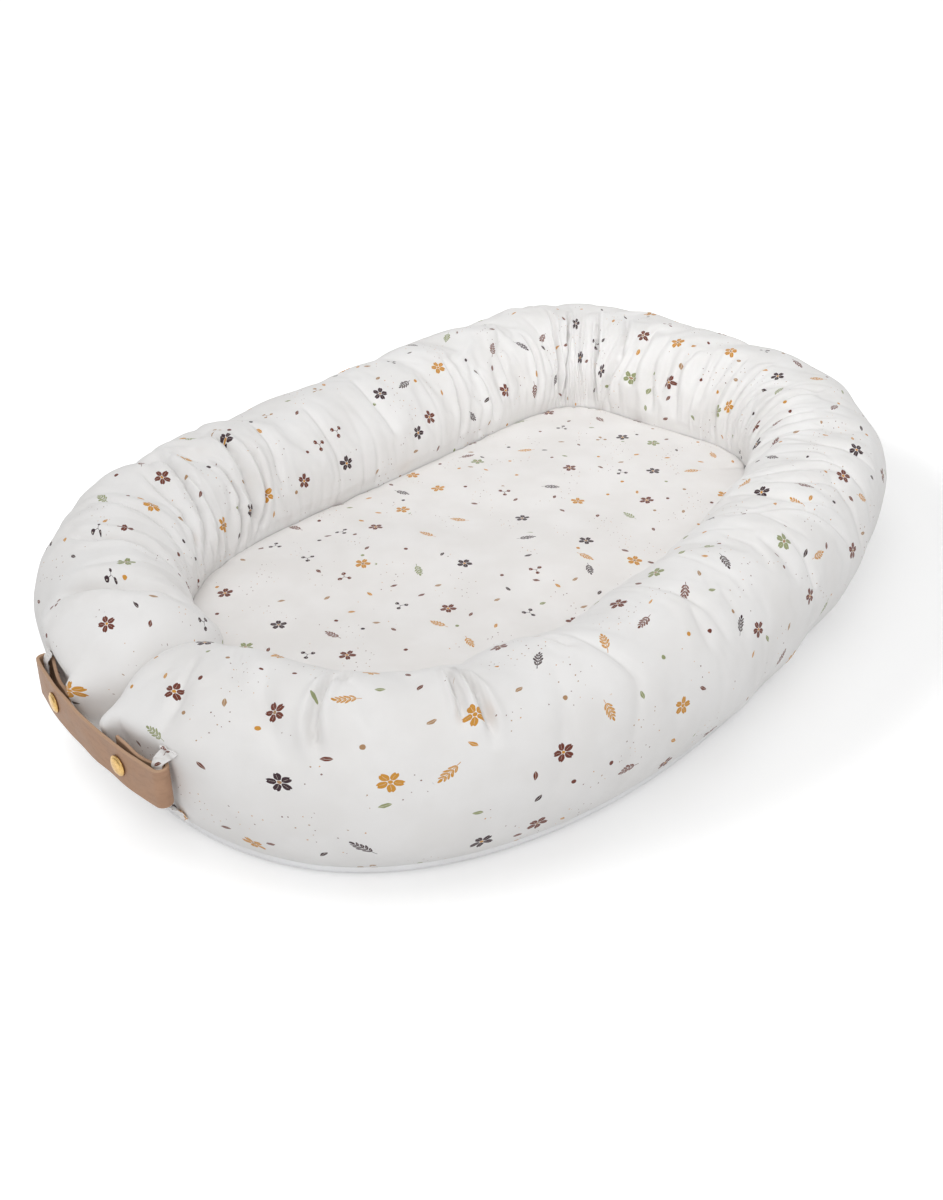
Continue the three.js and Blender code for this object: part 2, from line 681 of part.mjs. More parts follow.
function rollDepthAt(along, height) {
  const front = bandPoint(along, 0);
  const turn = along / STRAP_BOW_RADIUS;
  const origin = strapGroup.localToWorld(new THREE.Vector3(front.x, front.y, height));
  const inwards = new THREE.Vector3(-Math.sin(turn), Math.cos(turn), 0);
  inwards.transformDirection(strapGroup.matrixWorld);
  raycaster.set(origin, inwards);
  return raycaster.intersectObject(coverMesh)[0].distance;
}

function shallowestRollDepth(along, height) {
  const edges = [-LOOP_WIDTH / 2, 0, LOOP_WIDTH / 2];
  return Math.min(...edges.map((offset) => rollDepthAt(along + offset, height)));
}

// Upright fabric loop: sewn to the roll below and above the strap, it passes through the fold.
function beltLoop(side) {
  const along = side * (STRAP_HALF_SPAN - LOOP_DISTANCE_BEFORE_FOLD);
  const bottom = STRAP_BOTTOM_HEIGHT - LOOP_STRAP_CLEARANCE;
  const top = STRAP_BOTTOM_HEIGHT + STRAP_WIDTH + LOOP_STRAP_CLEARANCE;
  const onRoll = (height) =>
    new THREE.Vector2(shallowestRollDepth(along, height) - GAP - LOOP_THICKNESS, height);
  const line = [
    onRoll(bottom - LOOP_RUN_HEIGHT - LOOP_SEAM_LENGTH),
    onRoll(bottom - LOOP_RUN_HEIGHT),
    new THREE.Vector2(foldDepth / 2, bottom),
    new THREE.Vector2(foldDepth / 2, top),
    onRoll(top + LOOP_RUN_HEIGHT),
    onRoll(top + LOOP_RUN_HEIGHT + LOOP_SEAM_LENGTH),
  ];
  // The line's X is depth and its Y is height; the loop's width lies along the band.
  const strip = ribbon(line, LOOP_THICKNESS, LOOP_WIDTH).translate(0, 0, -LOOP_WIDTH / 2);
  const turn = along / STRAP_BOW_RADIUS;
  const middle = bandPoint(along, 0);
  const depthAxis = new THREE.Vector3(-Math.sin(turn), Math.cos(turn), 0);
  const heightAxis = new THREE.Vector3(0, 0, 1);
  const widthAxis = depthAxis.clone().cross(heightAxis);
  const place = new THREE.Matrix4().makeBasis(depthAxis, heightAxis, widthAxis);
  place.setPosition(middle.x, middle.y, 0);
  return strip.applyMatrix4(place);
}

for (const [word, side] of Object.entries(SIDES)) {
  addPiece("belt_loop_" + word, beltLoop(side), finish(COTTON, 0.9, 0), strapGroup);
}

// Zip: two tapes with their chains under the raised base, and a slider that runs between the stops.
const zipGroup = new THREE.Group();
zipGroup.position.copy(baseMiddle);
part.add(zipGroup);
const tapeMiddle = BASE_RISE_HEIGHT - GAP - TAPE_THICKNESS / 2;

function zipTape(side) {
  const chainX = side * (CHAIN_GAP + CHAIN_WIDTH) / 2;
  const tapeX = side * (CHAIN_GAP + TAPE_WIDTH) / 2;
  const length = 2 * ZIP_HALF_LENGTH;
  return join(
    box(TAPE_WIDTH, length, TAPE_THICKNESS, tapeX, 0, tapeMiddle),
    box(CHAIN_WIDTH, length, CHAIN_HEIGHT, chainX, 0, tapeMiddle),
  );
}

function zipStop(side) {
  const y = side * (ZIP_HALF_LENGTH + GAP + STOP_LENGTH / 2);
  return box(STOP_WIDTH, STOP_LENGTH, STOP_HEIGHT, 0, y, tapeMiddle);
}

const sliderInnerHeight = CHAIN_HEIGHT + 2 * GAP;
const sliderY = ZIP_HALF_LENGTH - SLIDER_LENGTH / 2;
const sliderBottom = tapeMiddle - sliderInnerHeight / 2 - SLIDER_PLATE_THICKNESS;
const pullAxisHeight = sliderBottom - LUG_WINDOW_HEIGHT / 2;

function zipSlider() {
  const plateZ = (sliderInnerHeight + SLIDER_PLATE_THICKNESS) / 2;
  const postY = (SLIDER_LENGTH - SLIDER_POST_LENGTH) / 2;
  const postHeight = sliderInnerHeight + SLIDER_PLATE_THICKNESS;
  const overlap = SLIDER_PLATE_THICKNESS / 2;
  const lugZ = sliderBottom - (LUG_HEIGHT - overlap) / 2;
  const lug = box(LUG_WIDTH, LUG_LENGTH, LUG_HEIGHT + overlap, 0, 0, lugZ);
  const windowWidth = LUG_WIDTH + 2 * CUT_OVERRUN;
  const window = box(windowWidth, LUG_WINDOW_LENGTH, LUG_WINDOW_HEIGHT, 0, 0, pullAxisHeight);
  return join(
    box(SLIDER_WIDTH, SLIDER_LENGTH, SLIDER_PLATE_THICKNESS, 0, 0, tapeMiddle + plateZ),
    box(SLIDER_WIDTH, SLIDER_LENGTH, SLIDER_PLATE_THICKNESS, 0, 0, tapeMiddle - plateZ),
    box(SLIDER_POST_WIDTH, SLIDER_POST_LENGTH, postHeight, 0, postY, tapeMiddle),
    cut(lug, window),
  ).translate(0, sliderY, 0);
}

// Pull tab: its bar lies in the lug's window and its eye goes round the lug.
function zipPull() {
  const start = -PULL_BAR_DIAMETER / 2;
  const plate = box(PULL_WIDTH, PULL_LENGTH, PULL_THICKNESS, 0, start + PULL_LENGTH / 2, 0);
  const eye = box(PULL_EYE_WIDTH, PULL_EYE_LENGTH, PULL_THICKNESS + 2 * CUT_OVERRUN, 0,
    PULL_BAR_DIAMETER / 2 + PULL_EYE_LENGTH / 2, 0);
  return cut(plate, eye).translate(0, sliderY, pullAxisHeight);
}

for (const [word, side] of Object.entries(SIDES)) {
  addPiece("zip_tape_" + word, zipTape(side), finish(ZIP_NYLON, 0.7, 0), zipGroup);
}
addPiece("zip_stop_foot", zipStop(-1), finish(STEEL, 0.4, 1), zipGroup);
addPiece("zip_stop_head", zipStop(1), finish(STEEL, 0.4, 1), zipGroup);
addPiece("zip_slider", zipSlider(), finish(STEEL, 0.4, 1), zipGroup);
addPiece("zip_pull", zipPull(), finish(STEEL, 0.4, 1), zipGroup);

// The origin is under the middle of the whole lounger, on the floor.
part.updateMatrixWorld(true);
const extent = new THREE.Box3().setFromObject(part, true);
const middle = extent.getCenter(new THREE.Vector3());
part.position.set(-middle.x, -middle.y, -extent.min.z);

export default part;
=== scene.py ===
# Infant lounger: a stuffed printed roll round a padded base, closed by a leather strap.
# Metres, +Z up, the foot end with the strap faces -Y, the origin is on the floor.

import math

import bpy
import numpy as np
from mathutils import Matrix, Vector
from mathutils.bvhtree import BVHTree


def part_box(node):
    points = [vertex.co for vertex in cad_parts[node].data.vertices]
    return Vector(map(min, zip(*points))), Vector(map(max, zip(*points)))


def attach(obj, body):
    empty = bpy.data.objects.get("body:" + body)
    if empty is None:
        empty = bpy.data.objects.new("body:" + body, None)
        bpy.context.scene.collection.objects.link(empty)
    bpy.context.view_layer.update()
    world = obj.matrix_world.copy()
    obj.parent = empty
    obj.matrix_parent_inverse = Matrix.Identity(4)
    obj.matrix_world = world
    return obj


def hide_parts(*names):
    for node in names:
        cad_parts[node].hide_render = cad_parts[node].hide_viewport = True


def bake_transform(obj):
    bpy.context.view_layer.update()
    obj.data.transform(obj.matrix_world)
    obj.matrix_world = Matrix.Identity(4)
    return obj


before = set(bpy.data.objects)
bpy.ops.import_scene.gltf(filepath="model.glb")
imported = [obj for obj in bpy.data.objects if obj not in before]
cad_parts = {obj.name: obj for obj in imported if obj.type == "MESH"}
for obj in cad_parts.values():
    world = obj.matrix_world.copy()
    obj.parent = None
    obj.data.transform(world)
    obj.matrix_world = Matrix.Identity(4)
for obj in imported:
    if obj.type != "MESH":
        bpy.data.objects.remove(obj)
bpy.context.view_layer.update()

# Centre line and section of the roll, as in the CAD source
HALF_LENGTH = 0.379
HALF_WIDTH = 0.2315
SQUARENESS = 3.24
HEAD_LEAN = 0.024
SIDE_BOW = 0.036
END_BOW = 0.042
FOOT_SLANT = 0.036
HEAD_NARROWING = 0.096
HALF_THICKNESS = 0.065
HALF_HEIGHT = 0.0746
SINK = 0.0075
THICKER_HEAD = 0.041
THINNER_RIGHT = 0.033
END_ROUNDING = 0.032
CLEFT = 0.0008
SHIFT = np.array([-0.0179971, 0.0254029, 0.0])
MIDDLE_HEIGHT = HALF_HEIGHT - SINK
OUTER_SEAM_HEIGHT = 0.0105
END_SAG, END_SAG_LENGTH = 0.017, 0.115
DRAW_IN, DRAW_IN_HALF_LENGTH, DRAW_IN_FADE = 0.0065, 0.108, 0.06
CORNER_SHARE, CORNER_REACH, CORNER_HANDLE = 0.5866, 0.085, 0.6
MATTRESS_EDGE = 0.056
MATTRESS_CROWN = 0.005
BASE_RISE, BASE_RISE_RUN, BASE_THICKNESS = 0.008, 0.014, 0.0015

# Strap, as in the CAD source
STRAP_WIDTH = 0.032
STRAP_BOTTOM = 0.048
STRAP_HALF_SPAN = 0.090
STRAP_BOW_RADIUS = 0.54
STRAP_ORIGIN = np.array([-0.01976, -0.44392])
STRAP_TURN = math.radians(-8.034)
LEATHER = 0.0026
FOLD_DEPTH = 0.0084 + LEATHER
SNAP_DEPTH = 0.0037 + LEATHER
SNAP_PLACE = 0.050

# How finely things are made
LINE_POINTS, TANGENT_STEP = 19201, 0.004
ALONG, ROUND = 1041, 168
END_STEPS, CAP_RINGS = 10, 8
RING_POINTS, CLEFT_POINTS = 420, 14
MATTRESS_RINGS = 64


def signed_power(value, exponent):
    return np.sign(value) * np.abs(value) ** exponent


def smoothstep(x, low, high):
    t = np.clip((x - low) / (high - low), 0, 1)
    return t * t * (3 - 2 * t)


def window(x, rise, full, fall, end):
    """1 between full and fall, 0 up to rise and from end on."""
    return smoothstep(x, rise, full) * (1 - smoothstep(x, fall, end))


def bell(x, middle, width, power=2):
    return np.exp(-(((x - middle) / width) ** power))


def unit(vectors):
    return vectors / np.linalg.norm(vectors, axis=-1, keepdims=True)


def running(steps):
    """Distance along a line to each of its points, from the steps between them."""
    return np.concatenate([[0], np.cumsum(steps)])


def line_steps(points):
    return np.linalg.norm(np.diff(points, axis=0), axis=1)


def centre_line():
    """The closed centre line from the cleft round to it again: distances, x and y."""
    angle = np.linspace(-np.pi / 2, 3 * np.pi / 2, LINE_POINTS)
    across = signed_power(np.cos(angle), 2 / SQUARENESS)
    along = signed_power(np.sin(angle), 2 / SQUARENESS)
    foot_side = np.where(along < 0, along**2, 0)
    x = (HALF_WIDTH * across * (1 - HEAD_NARROWING * along) - HEAD_LEAN * along
         - SIDE_BOW * (along**2 - 0.5))
    y = HALF_LENGTH * along + END_BOW * (across**2 - 0.5) - FOOT_SLANT * across * foot_side
    return running(np.hypot(np.diff(x), np.diff(y))), x, y


LINE_S, LINE_X, LINE_Y = centre_line()
PATH = LINE_S[-1]


def path_point(s):
    s = np.mod(s, PATH)
    return np.stack([np.interp(s, LINE_S, LINE_X), np.interp(s, LINE_S, LINE_Y)], -1)


def path_frame(s):
    """Centre, unit tangent, unit outward normal and swell at distances s from the cleft."""
    centre = path_point(s)
    tangent = unit(path_point(s + TANGENT_STEP) - path_point(s - TANGENT_STEP))
    outward = np.stack([tangent[..., 1], -tangent[..., 0]], -1)
    swell = (1 + THICKER_HEAD * centre[..., 1] / HALF_LENGTH
             - THINNER_RIGHT * centre[..., 0] / HALF_WIDTH)
    return centre, tangent, outward, swell


def body_places(count):
    """Distances from the cleft, evenly over the roll without its two rounded ends."""
    return np.linspace(CLEFT / 2 + END_ROUNDING, PATH - CLEFT / 2 - END_ROUNDING, count)


def draw_in(s, angle):
    """How far the strap draws in the outer side of the roll's ends."""
    from_cleft = np.minimum(s, PATH - s)
    fade = smoothstep(from_cleft, DRAW_IN_HALF_LENGTH, DRAW_IN_HALF_LENGTH + DRAW_IN_FADE)
    return DRAW_IN * (1 - fade) * np.maximum(0, np.cos(angle)) ** 4


def plan_cross(a, b):
    return a[..., 0] * b[..., 1] - a[..., 1] * b[..., 0]


def corner_rounding(s, angle, reach, plain):
    """Plan shift that rounds the inner side of the head's left corner, where filling bunches."""
    place = (np.mod(s, PATH) - CORNER_SHARE * PATH) / CORNER_REACH
    weight = smoothstep(-np.cos(angle), 0.2, 0.8) * (np.abs(place) < 1)
    ends = np.array([CORNER_SHARE * PATH - CORNER_REACH, CORNER_SHARE * PATH + CORNER_REACH])
    centre, tangent, outward, _ = path_frame(ends)
    start, end = (centre[i] + outward[i] * reach[..., None] for i in (0, 1))
    turn = plan_cross(tangent[0], tangent[1])
    before = plan_cross(end - start, tangent[1]) / turn
    after = plan_cross(tangent[0], end - start) / turn
    first = start + CORNER_HANDLE * before[..., None] * tangent[0]
    last = end - CORNER_HANDLE * after[..., None] * tangent[1]
    t = (np.clip(place, -1, 1)[..., None] + 1) / 2
    curve = ((1 - t) ** 3 * start + 3 * (1 - t) ** 2 * t * first + 3 * (1 - t) * t**2 * last
             + t**3 * end)
    return weight[..., None] * (curve - plain)


def roll_surface(s, angle, relief=0.0, tilt=None, inset=0.0, floor=0.0):
    """Points on the roll at distance s and section angle (0 outermost, pi/2 top). relief is
    measured outward. tilt, where given, is how far a section lies round the end's rounding."""
    shrink = inset
    if tilt is not None:
        shrink = END_ROUNDING - (END_ROUNDING - inset) * np.cos(tilt)
    centre, _, outward, swell = path_frame(s)
    pulled = draw_in(s, angle) - relief
    reach = (HALF_THICKNESS * swell - shrink - pulled) * np.cos(angle)
    height = MIDDLE_HEIGHT * swell + (HALF_HEIGHT * swell - shrink - pulled) * np.sin(angle)
    xy = centre + outward * reach[..., None]
    xy = xy + corner_rounding(s, angle, reach, xy)
    return np.concatenate([xy, np.maximum(height, floor)[..., None]], -1) + SHIFT


def above_strap(s, angle):
    """Relief of the ends' cloth: it swells over the strap and leaves its tails room to swing."""
    from_cleft = np.minimum(s, PATH - s)
    degrees = np.degrees(angle)
    near = window(from_cleft, 0.003, 0.02, 0.085, 0.12)
    over = bell(degrees, 27, 13)
    between = 0.0102 * bell(degrees, 8, 16) + 0.0070 * bell(degrees, 21, 9)
    between = between * (1 - smoothstep(from_cleft, 0.022, 0.034))
    behind = window(from_cleft, 0.024, 0.035, 0.068, 0.082) * bell(degrees, 4, 20, 4)
    behind = behind * np.where(s > PATH / 2, 0.0045, 0.0042)
    return near * (0.0075 * over + between) - behind


def angle_at(height):
    return math.asin((height - MIDDLE_HEIGHT) / HALF_HEIGHT)


# Each fold of the roll's cloth: its line as (share of the path from the cleft, section angle in
# degrees), then its depth and half width in millimetres
FOLDS = [
    ([(0.9229, 52), (0.9335, 85), (0.9355, 113), (0.9400, 134), (0.9480, 158)], 5.0, 8),
    ([(0.9500, 36), (0.9610, 67), (0.9700, 96), (0.9740, 118), (0.9780, 140)], 4.0, 11),
    ([(0.8580, 62), (0.8740, 123), (0.8817, 155), (0.8959, 176)], 6.0, 8),
    ([(0.8800, 83), (0.8874, 118), (0.8930, 150), (0.9060, 172)], 3.5, 6),
    ([(0.9000, 60), (0.9080, 95), (0.9110, 130), (0.9180, 160)], 3.0, 8),
    ([(0.8350, 70), (0.8378, 123), (0.8413, 155), (0.8470, 188)], 6.0, 6),
    ([(0.8520, 100), (0.8491, 140), (0.8548, 177), (0.8600, 192)], 5.0, 5),
    ([(0.8290, 106), (0.8300, 138), (0.8360, 164), (0.8440, 192)], 4.0, 5),
    ([(0.8680, 105), (0.8700, 140), (0.8740, 164), (0.8760, 186)], 4.0, 6),
    ([(0.8160, 90), (0.8180, 130), (0.8230, 165)], 2.0, 9),
    ([(0.7868, 95), (0.7868, 141), (0.7839, 176)], 1.6, 10),
    ([(0.7478, 79), (0.7513, 124), (0.7485, 171)], 1.6, 12),
    ([(0.6965, 105), (0.6996, 147), (0.7031, 168), (0.7060, 190)], 4.5, 5),
    ([(0.6804, 128), (0.6797, 159), (0.6790, 185)], 3.0, 5),
    ([(0.6600, 120), (0.6620, 150), (0.6640, 176)], 1.8, 7),
    ([(0.6365, 108), (0.6365, 138), (0.6393, 159), (0.6436, 188)], 3.6, 5),
    ([(0.6240, 120), (0.6250, 150), (0.6280, 182)], 2.0, 5),
    ([(0.6050, 84), (0.6124, 131), (0.6145, 162), (0.6159, 194)], 4.4, 5),
    ([(0.5911, 88), (0.6011, 146), (0.6067, 172), (0.6124, 196)], 5.5, 4.5),
    ([(0.5830, 100), (0.5840, 140), (0.5850, 178)], 2.4, 5),
    ([(0.5760, 86), (0.5670, 139), (0.5614, 165), (0.5560, 194)], 5.0, 5),
    ([(0.5590, 84), (0.5437, 134), (0.5451, 160), (0.5490, 190)], 4.6, 5),
    ([(0.5340, 95), (0.5320, 140), (0.5300, 176)], 2.2, 6),
    ([(0.5238, 95), (0.5231, 144), (0.5153, 186)], 3.6, 6),
    ([(0.5047, 100), (0.5068, 143), (0.5032, 186)], 3.2, 6),
    ([(0.4900, 100), (0.4905, 140), (0.4890, 170)], 2.4, 6),
    ([(0.4740, 104), (0.4763, 150), (0.4749, 186)], 3.2, 6),
    ([(0.4580, 96), (0.4600, 140), (0.4620, 178)], 2.8, 6),
    ([(0.4330, 100), (0.4465, 151), (0.4530, 182)], 3.8, 6),
    ([(0.4200, 82), (0.4170, 120), (0.4154, 155), (0.4100, 186)], 6.5, 7),
    ([(0.4000, 92), (0.3980, 130), (0.3960, 168)], 3.0, 8),
    ([(0.3800, 86), (0.3780, 120), (0.3760, 158)], 2.4, 8),
    ([(0.3409, 100), (0.3466, 64), (0.3466, 36)], 1.6, 7),
    ([(0.3620, 96), (0.3640, 66), (0.3650, 30)], 1.8, 9),
    ([(0.3076, 118), (0.3190, 84), (0.3338, 50)], 1.6, 7),
    ([(0.3180, 124), (0.3290, 92), (0.3420, 60)], 1.2, 6),
    ([(0.2740, 112), (0.2878, 87), (0.2977, 69), (0.3055, 47), (0.3133, 20)], 3.2, 5),
    ([(0.2743, 70), (0.2778, 42), (0.2790, 10)], 1.4, 8),
    ([(0.0790, 108), (0.0751, 80), (0.0751, 57), (0.0775, 38)], 6.0, 4.2),
    ([(0.0830, 112), (0.0812, 100), (0.0800, 90)], 2.0, 4),
    ([(0.1155, 112), (0.1148, 78), (0.1140, 50)], 5.0, 3.4),
    ([(0.1170, 108), (0.1205, 70), (0.1212, 36)], 5.6, 4.0),
    ([(0.1538, 112), (0.1560, 98), (0.1590, 80)], 2.4, 5),
    ([(0.1620, 104), (0.1680, 70), (0.1720, 36)], 1.2, 10),
    ([(0.2100, 96), (0.2140, 60), (0.2160, 26)], 1.2, 12),
    ([(0.0200, 100), (0.0300, 70), (0.0340, 40)], 1.6, 9),
    ([(0.0300, 120), (0.0420, 96), (0.0500, 70)], 1.2, 8),
]
FOLD_POINTS, FOLD_WINDOW = 24, 7
FOLD_RADIUS, FOLD_REACH, FOLD_GAIN = 0.070, 0.06, 1.35
# The sharp bottom of each fold: shares of its depth and half width, and the least half width
SHARP_DEPTH, SHARP_WIDTH, SHARP_LEAST_WIDTH = 0.7, 0.45, 2.6

# Runs of parallel pleats: first and last share of the path, pitch and depth in millimetres, and
# the section angles between which they show
PLEATS = [
    (0.525, 0.640, 11.0, 1.9, 88, 200),
    (0.430, 0.530, 12.0, 1.5, 96, 196),
    (0.360, 0.440, 12.0, 1.9, 70, 196),
    (0.640, 0.730, 15.0, 1.0, 110, 194),
    (0.820, 0.920, 11.0, 2.1, 88, 196),
    (0.905, 0.975, 14.0, 1.0, 50, 170),
    (0.730, 0.820, 19.0, 0.3, 90, 190),
    (0.250, 0.370, 15.0, 0.8, 30, 130),
    (0.020, 0.140, 15.0, 0.35, 70, 165),
    (0.140, 0.250, 20.0, 0.5, 60, 180),
    (0.410, 0.700, 16.0, 2.6, 140, 220),
    (0.700, 0.960, 19.0, 1.7, 145, 220),
    (0.040, 0.410, 21.0, 1.2, 145, 220),
]
PLEAT_GAIN = 1.25
OUTER_CREASES = 46
WAVES, WAVE_SIZE = 30, 0.00046


def outer_creases(generator):
    """Soft shallow drags on the top and the outer side."""
    creases = []
    for _ in range(OUTER_CREASES):
        share = generator.uniform(0.02, 0.98)
        top = generator.uniform(60, 100)
        end = top - generator.uniform(35, 70)
        lean = generator.uniform(-0.012, 0.012)
        line = [(share, top), (share + lean, (top + end) / 2), (share + 1.6 * lean, end)]
        creases.append((line, generator.uniform(0.5, 1.2), generator.uniform(6, 12)))
    return creases


def fold_point_values(values):
    """A fold line's values at evenly spread points, with its bends softened."""
    spread = np.interp(np.linspace(0, 1, FOLD_POINTS), np.linspace(0, 1, len(values)), values)
    padded = np.pad(spread, FOLD_WINDOW // 2, "edge")
    return np.convolve(padded, np.ones(FOLD_WINDOW) / FOLD_WINDOW, "valid")


def fold_relief(s, angle, folds):
    """Relief in metres of the folds at points given by path distance and section angle."""
    relief = np.zeros(s.shape)
    for line, depth, half_width in folds:
        share, degrees = (fold_point_values(values) for values in np.array(line, float).T)
        low, high = share.min() * PATH - FOLD_REACH, share.max() * PATH + FOLD_REACH
        near = (s[:, 0] > low) & (s[:, 0] < high)
        if not near.any():
            continue
        ps, pa = s[near], angle[near]
        qs, qa = share * PATH, np.radians(degrees)
        along = running(np.hypot(np.diff(qs), FOLD_RADIUS * np.diff(qa)))
        best = np.full(ps.shape, 1e9)
        place = np.zeros(ps.shape)
        for i in range(len(qs) - 1):
            ds, da = qs[i + 1] - qs[i], (qa[i + 1] - qa[i]) * FOLD_RADIUS
            t = (ps - qs[i]) * ds + (pa - qa[i]) * FOLD_RADIUS * da
            t = np.clip(t / max(ds * ds + da * da, 1e-12), 0, 1)
            gap = np.hypot(ps - qs[i] - t * ds, (pa - qa[i]) * FOLD_RADIUS - t * da)
            closer = gap < best
            best = np.where(closer, gap, best)
            place = np.where(closer, along[i] + t * (along[i + 1] - along[i]), place)
        t = place / along[-1]
        strength = smoothstep(t, 0, 0.3) * (1 - smoothstep(t, 0.75, 1.0) * 0.9)
        x = best / (half_width / 1000 * (0.62 + 0.4 * t))
        profile = -np.exp(-(x**1.35) * 1.5) + 0.40 * np.exp(-((x - 1.8) ** 2) * 1.2)
        relief[near] += FOLD_GAIN * depth / 1000 * strength * profile
    return relief


def pleats(s, angle, generator):
    """Fine parallel pleats where the roll bends: round ridges between sharp valleys."""
    relief = np.zeros(s.shape)
    place = s / PATH
    for first, last, pitch, depth, low, high in PLEATS:
        near = (place[:, 0] > first - 0.02) & (place[:, 0] < last + 0.02)
        ps, pa = s[near], angle[near]
        knots = [first * PATH - 0.04]
        while knots[-1] < last * PATH + 0.04:
            knots.append(knots[-1] + pitch / 1000 * generator.uniform(0.55, 1.6))
        count = len(knots)
        lean = np.interp(ps, knots, generator.uniform(-0.012, 0.012, count))
        bend = np.interp(ps, knots, generator.uniform(-0.006, 0.006, count))
        swing = (pa - math.radians(140)) / 1.2
        moved = ps + lean * swing + bend * (swing**2)
        phase = np.interp(moved, knots, np.arange(count))
        nearest = np.clip(np.round(phase).astype(int), 0, count - 1)
        upper = math.radians(low) + np.radians(generator.uniform(0, 45, count))
        strength = generator.uniform(0.25, 1.25, count) ** 1.3
        shown = smoothstep(pa, upper[nearest] - 0.15, upper[nearest] + 0.45) * strength[nearest]
        shown *= 1 - smoothstep(pa, math.radians(high) - 0.1, math.radians(high) + 0.15)
        run = window(ps / PATH, first, first + 0.012, last - 0.012, last)
        valley = 1 - np.abs(np.sin(np.pi * phase)) ** 0.75
        relief[near] -= PLEAT_GAIN * depth / 1000 * run * shown * (valley**1.4 - 0.18)
    return relief


def waves(s, angle, generator):
    """Slow unevenness of the stuffing."""
    relief = np.zeros(s.shape)
    for _ in range(WAVES):
        turns = generator.integers(4, 34)
        across = generator.integers(0, 5)
        phase = generator.uniform(0, 2 * np.pi)
        size = WAVE_SIZE * (12 / (turns + 6)) ** 0.6
        relief += size * np.cos(2 * np.pi * turns * s / PATH + across * angle + phase)
    return relief


def slow_noise(x, y, generator, count, shortest, longest, size):
    """Sum of so many plane waves with random lengths and headings."""
    height = np.zeros(x.shape)
    for _ in range(count):
        length = generator.uniform(shortest, longest)
        heading = generator.uniform(0, np.pi)
        phase = generator.uniform(0, 2 * np.pi)
        wave = 2 * np.pi * (x * np.cos(heading) + y * np.sin(heading)) / length + phase
        height += size * length / longest * np.cos(wave)
    return height


def make_mesh(name, points, faces, uv=None, smooth=True):
    """Object from points and faces. uv, where given, has one pair for each face corner."""
    mesh = bpy.data.meshes.new(name)
    mesh.from_pydata([tuple(p) for p in points], [], [tuple(int(i) for i in f) for f in faces])
    if uv is not None:
        layer = mesh.uv_layers.new(name="UVMap")
        layer.data.foreach_set("uv", np.asarray(uv, np.float32).ravel())
    mesh.polygons.foreach_set("use_smooth", [smooth] * len(mesh.polygons))
    mesh.update()
    obj = bpy.data.objects.new(name, mesh)
    bpy.context.scene.collection.objects.link(obj)
    return obj


def grid_faces(rows, columns, closed_rows=False):
    """Quads of a grid of points whose rows are rings."""
    count = rows if closed_rows else rows - 1
    i, j = np.meshgrid(np.arange(count), np.arange(columns), indexing="ij")
    here, there = i * columns, (i + 1) % rows * columns
    beside = (j + 1) % columns
    return np.stack([here + j, there + j, there + beside, here + beside], -1).reshape(-1, 4)


def grid_uv(u, v, round_length):
    """Corner uv for grid_faces, from arrays of the grid's shape. v grows round a ring."""
    u = np.concatenate([u, u[:, :1]], 1)
    v = np.concatenate([v, v[:, :1] + round_length], 1)
    p = np.stack([u, v], -1)
    return np.stack([p[:-1, :-1], p[1:, :-1], p[1:, 1:], p[:-1, 1:]], 2).reshape(-1, 2)


def outwards(points, faces):
    """The faces, turned round as a whole where the closed form would be inside out."""
    faces = [list(f) for f in faces]
    fans = np.array([(f[0], f[k], f[k + 1]) for f in faces for k in range(1, len(f) - 1)])
    a, b, c = points[fans.T]
    return faces if (a * np.cross(b, c)).sum() > 0 else [f[::-1] for f in faces]


def plan_mesh(name, points, faces):
    """Closed mesh whose uv is its plan."""
    faces = outwards(points, faces)
    uv = points[:, :2]
    return make_mesh(name, points, faces, np.concatenate([uv[f] for f in faces]))


def closed_rings(name, rings, first_pole, last_pole):
    """Closed mesh from rings with a pole at each end."""
    rows, columns = rings.shape[:2]
    points = np.concatenate([rings.reshape(-1, 3), [first_pole], [last_pole]])
    faces = grid_faces(rows, columns).tolist()
    sides = [(j, (j + 1) % columns) for j in range(columns)]
    last = (rows - 1) * columns
    faces += [[rows * columns, a, b] for a, b in sides]
    faces += [[rows * columns + 1, last + b, last + a] for a, b in sides]
    return plan_mesh(name, points, faces)


def closed_on_spines(name, rings):
    """Closed mesh from rings whose first and last each fold flat onto a line."""
    rows, columns = rings.shape[:2]
    points = rings.reshape(-1, 3)
    faces = grid_faces(rows, columns)
    partner = np.arange(columns)
    partner = np.minimum(partner, (columns - partner) % columns)
    index = np.arange(len(points)).reshape(rows, columns)
    index[0], index[-1] = index[0][partner], index[-1][partner]
    faces = index.reshape(-1)[faces]
    used, compact = np.unique(faces, return_inverse=True)
    faces = [[v for i, v in enumerate(face) if v != face[i - 1]]
             for face in compact.reshape(faces.shape).tolist()]
    return plan_mesh(name, points[used], faces)


def strip_ends(rows, columns, flipped):
    """Faces for both ends of a flat tube, whose rings each go along its front and back again."""
    faces = []
    for end, flip in ((0, flipped), (rows - 1, not flipped)):
        for j in range(columns // 2 - 1):
            quad = [end * columns + k for k in (j, j + 1, columns - 2 - j, columns - 1 - j)]
            faces.append(quad[::-1] if flip else quad)
    return faces


# The stuffed roll's relief
generator = np.random.default_rng(7)


def roll_grid():
    """Distances, angles and tilts of the roll's grid: both rounded ends and the body."""
    tilt = np.linspace(np.pi / 2, 0, END_STEPS, endpoint=False)
    from_end = CLEFT / 2 + END_ROUNDING * (1 - np.sin(tilt))
    s = np.concatenate([from_end, body_places(ALONG), (PATH - from_end)[::-1]])
    tilts = np.concatenate([tilt, np.zeros(ALONG), tilt[::-1]])
    theta = np.linspace(0, 2 * np.pi, ROUND, endpoint=False) + math.radians(-60)
    return np.meshgrid(s, theta, indexing="ij"), np.repeat(tilts[:, None], ROUND, 1)


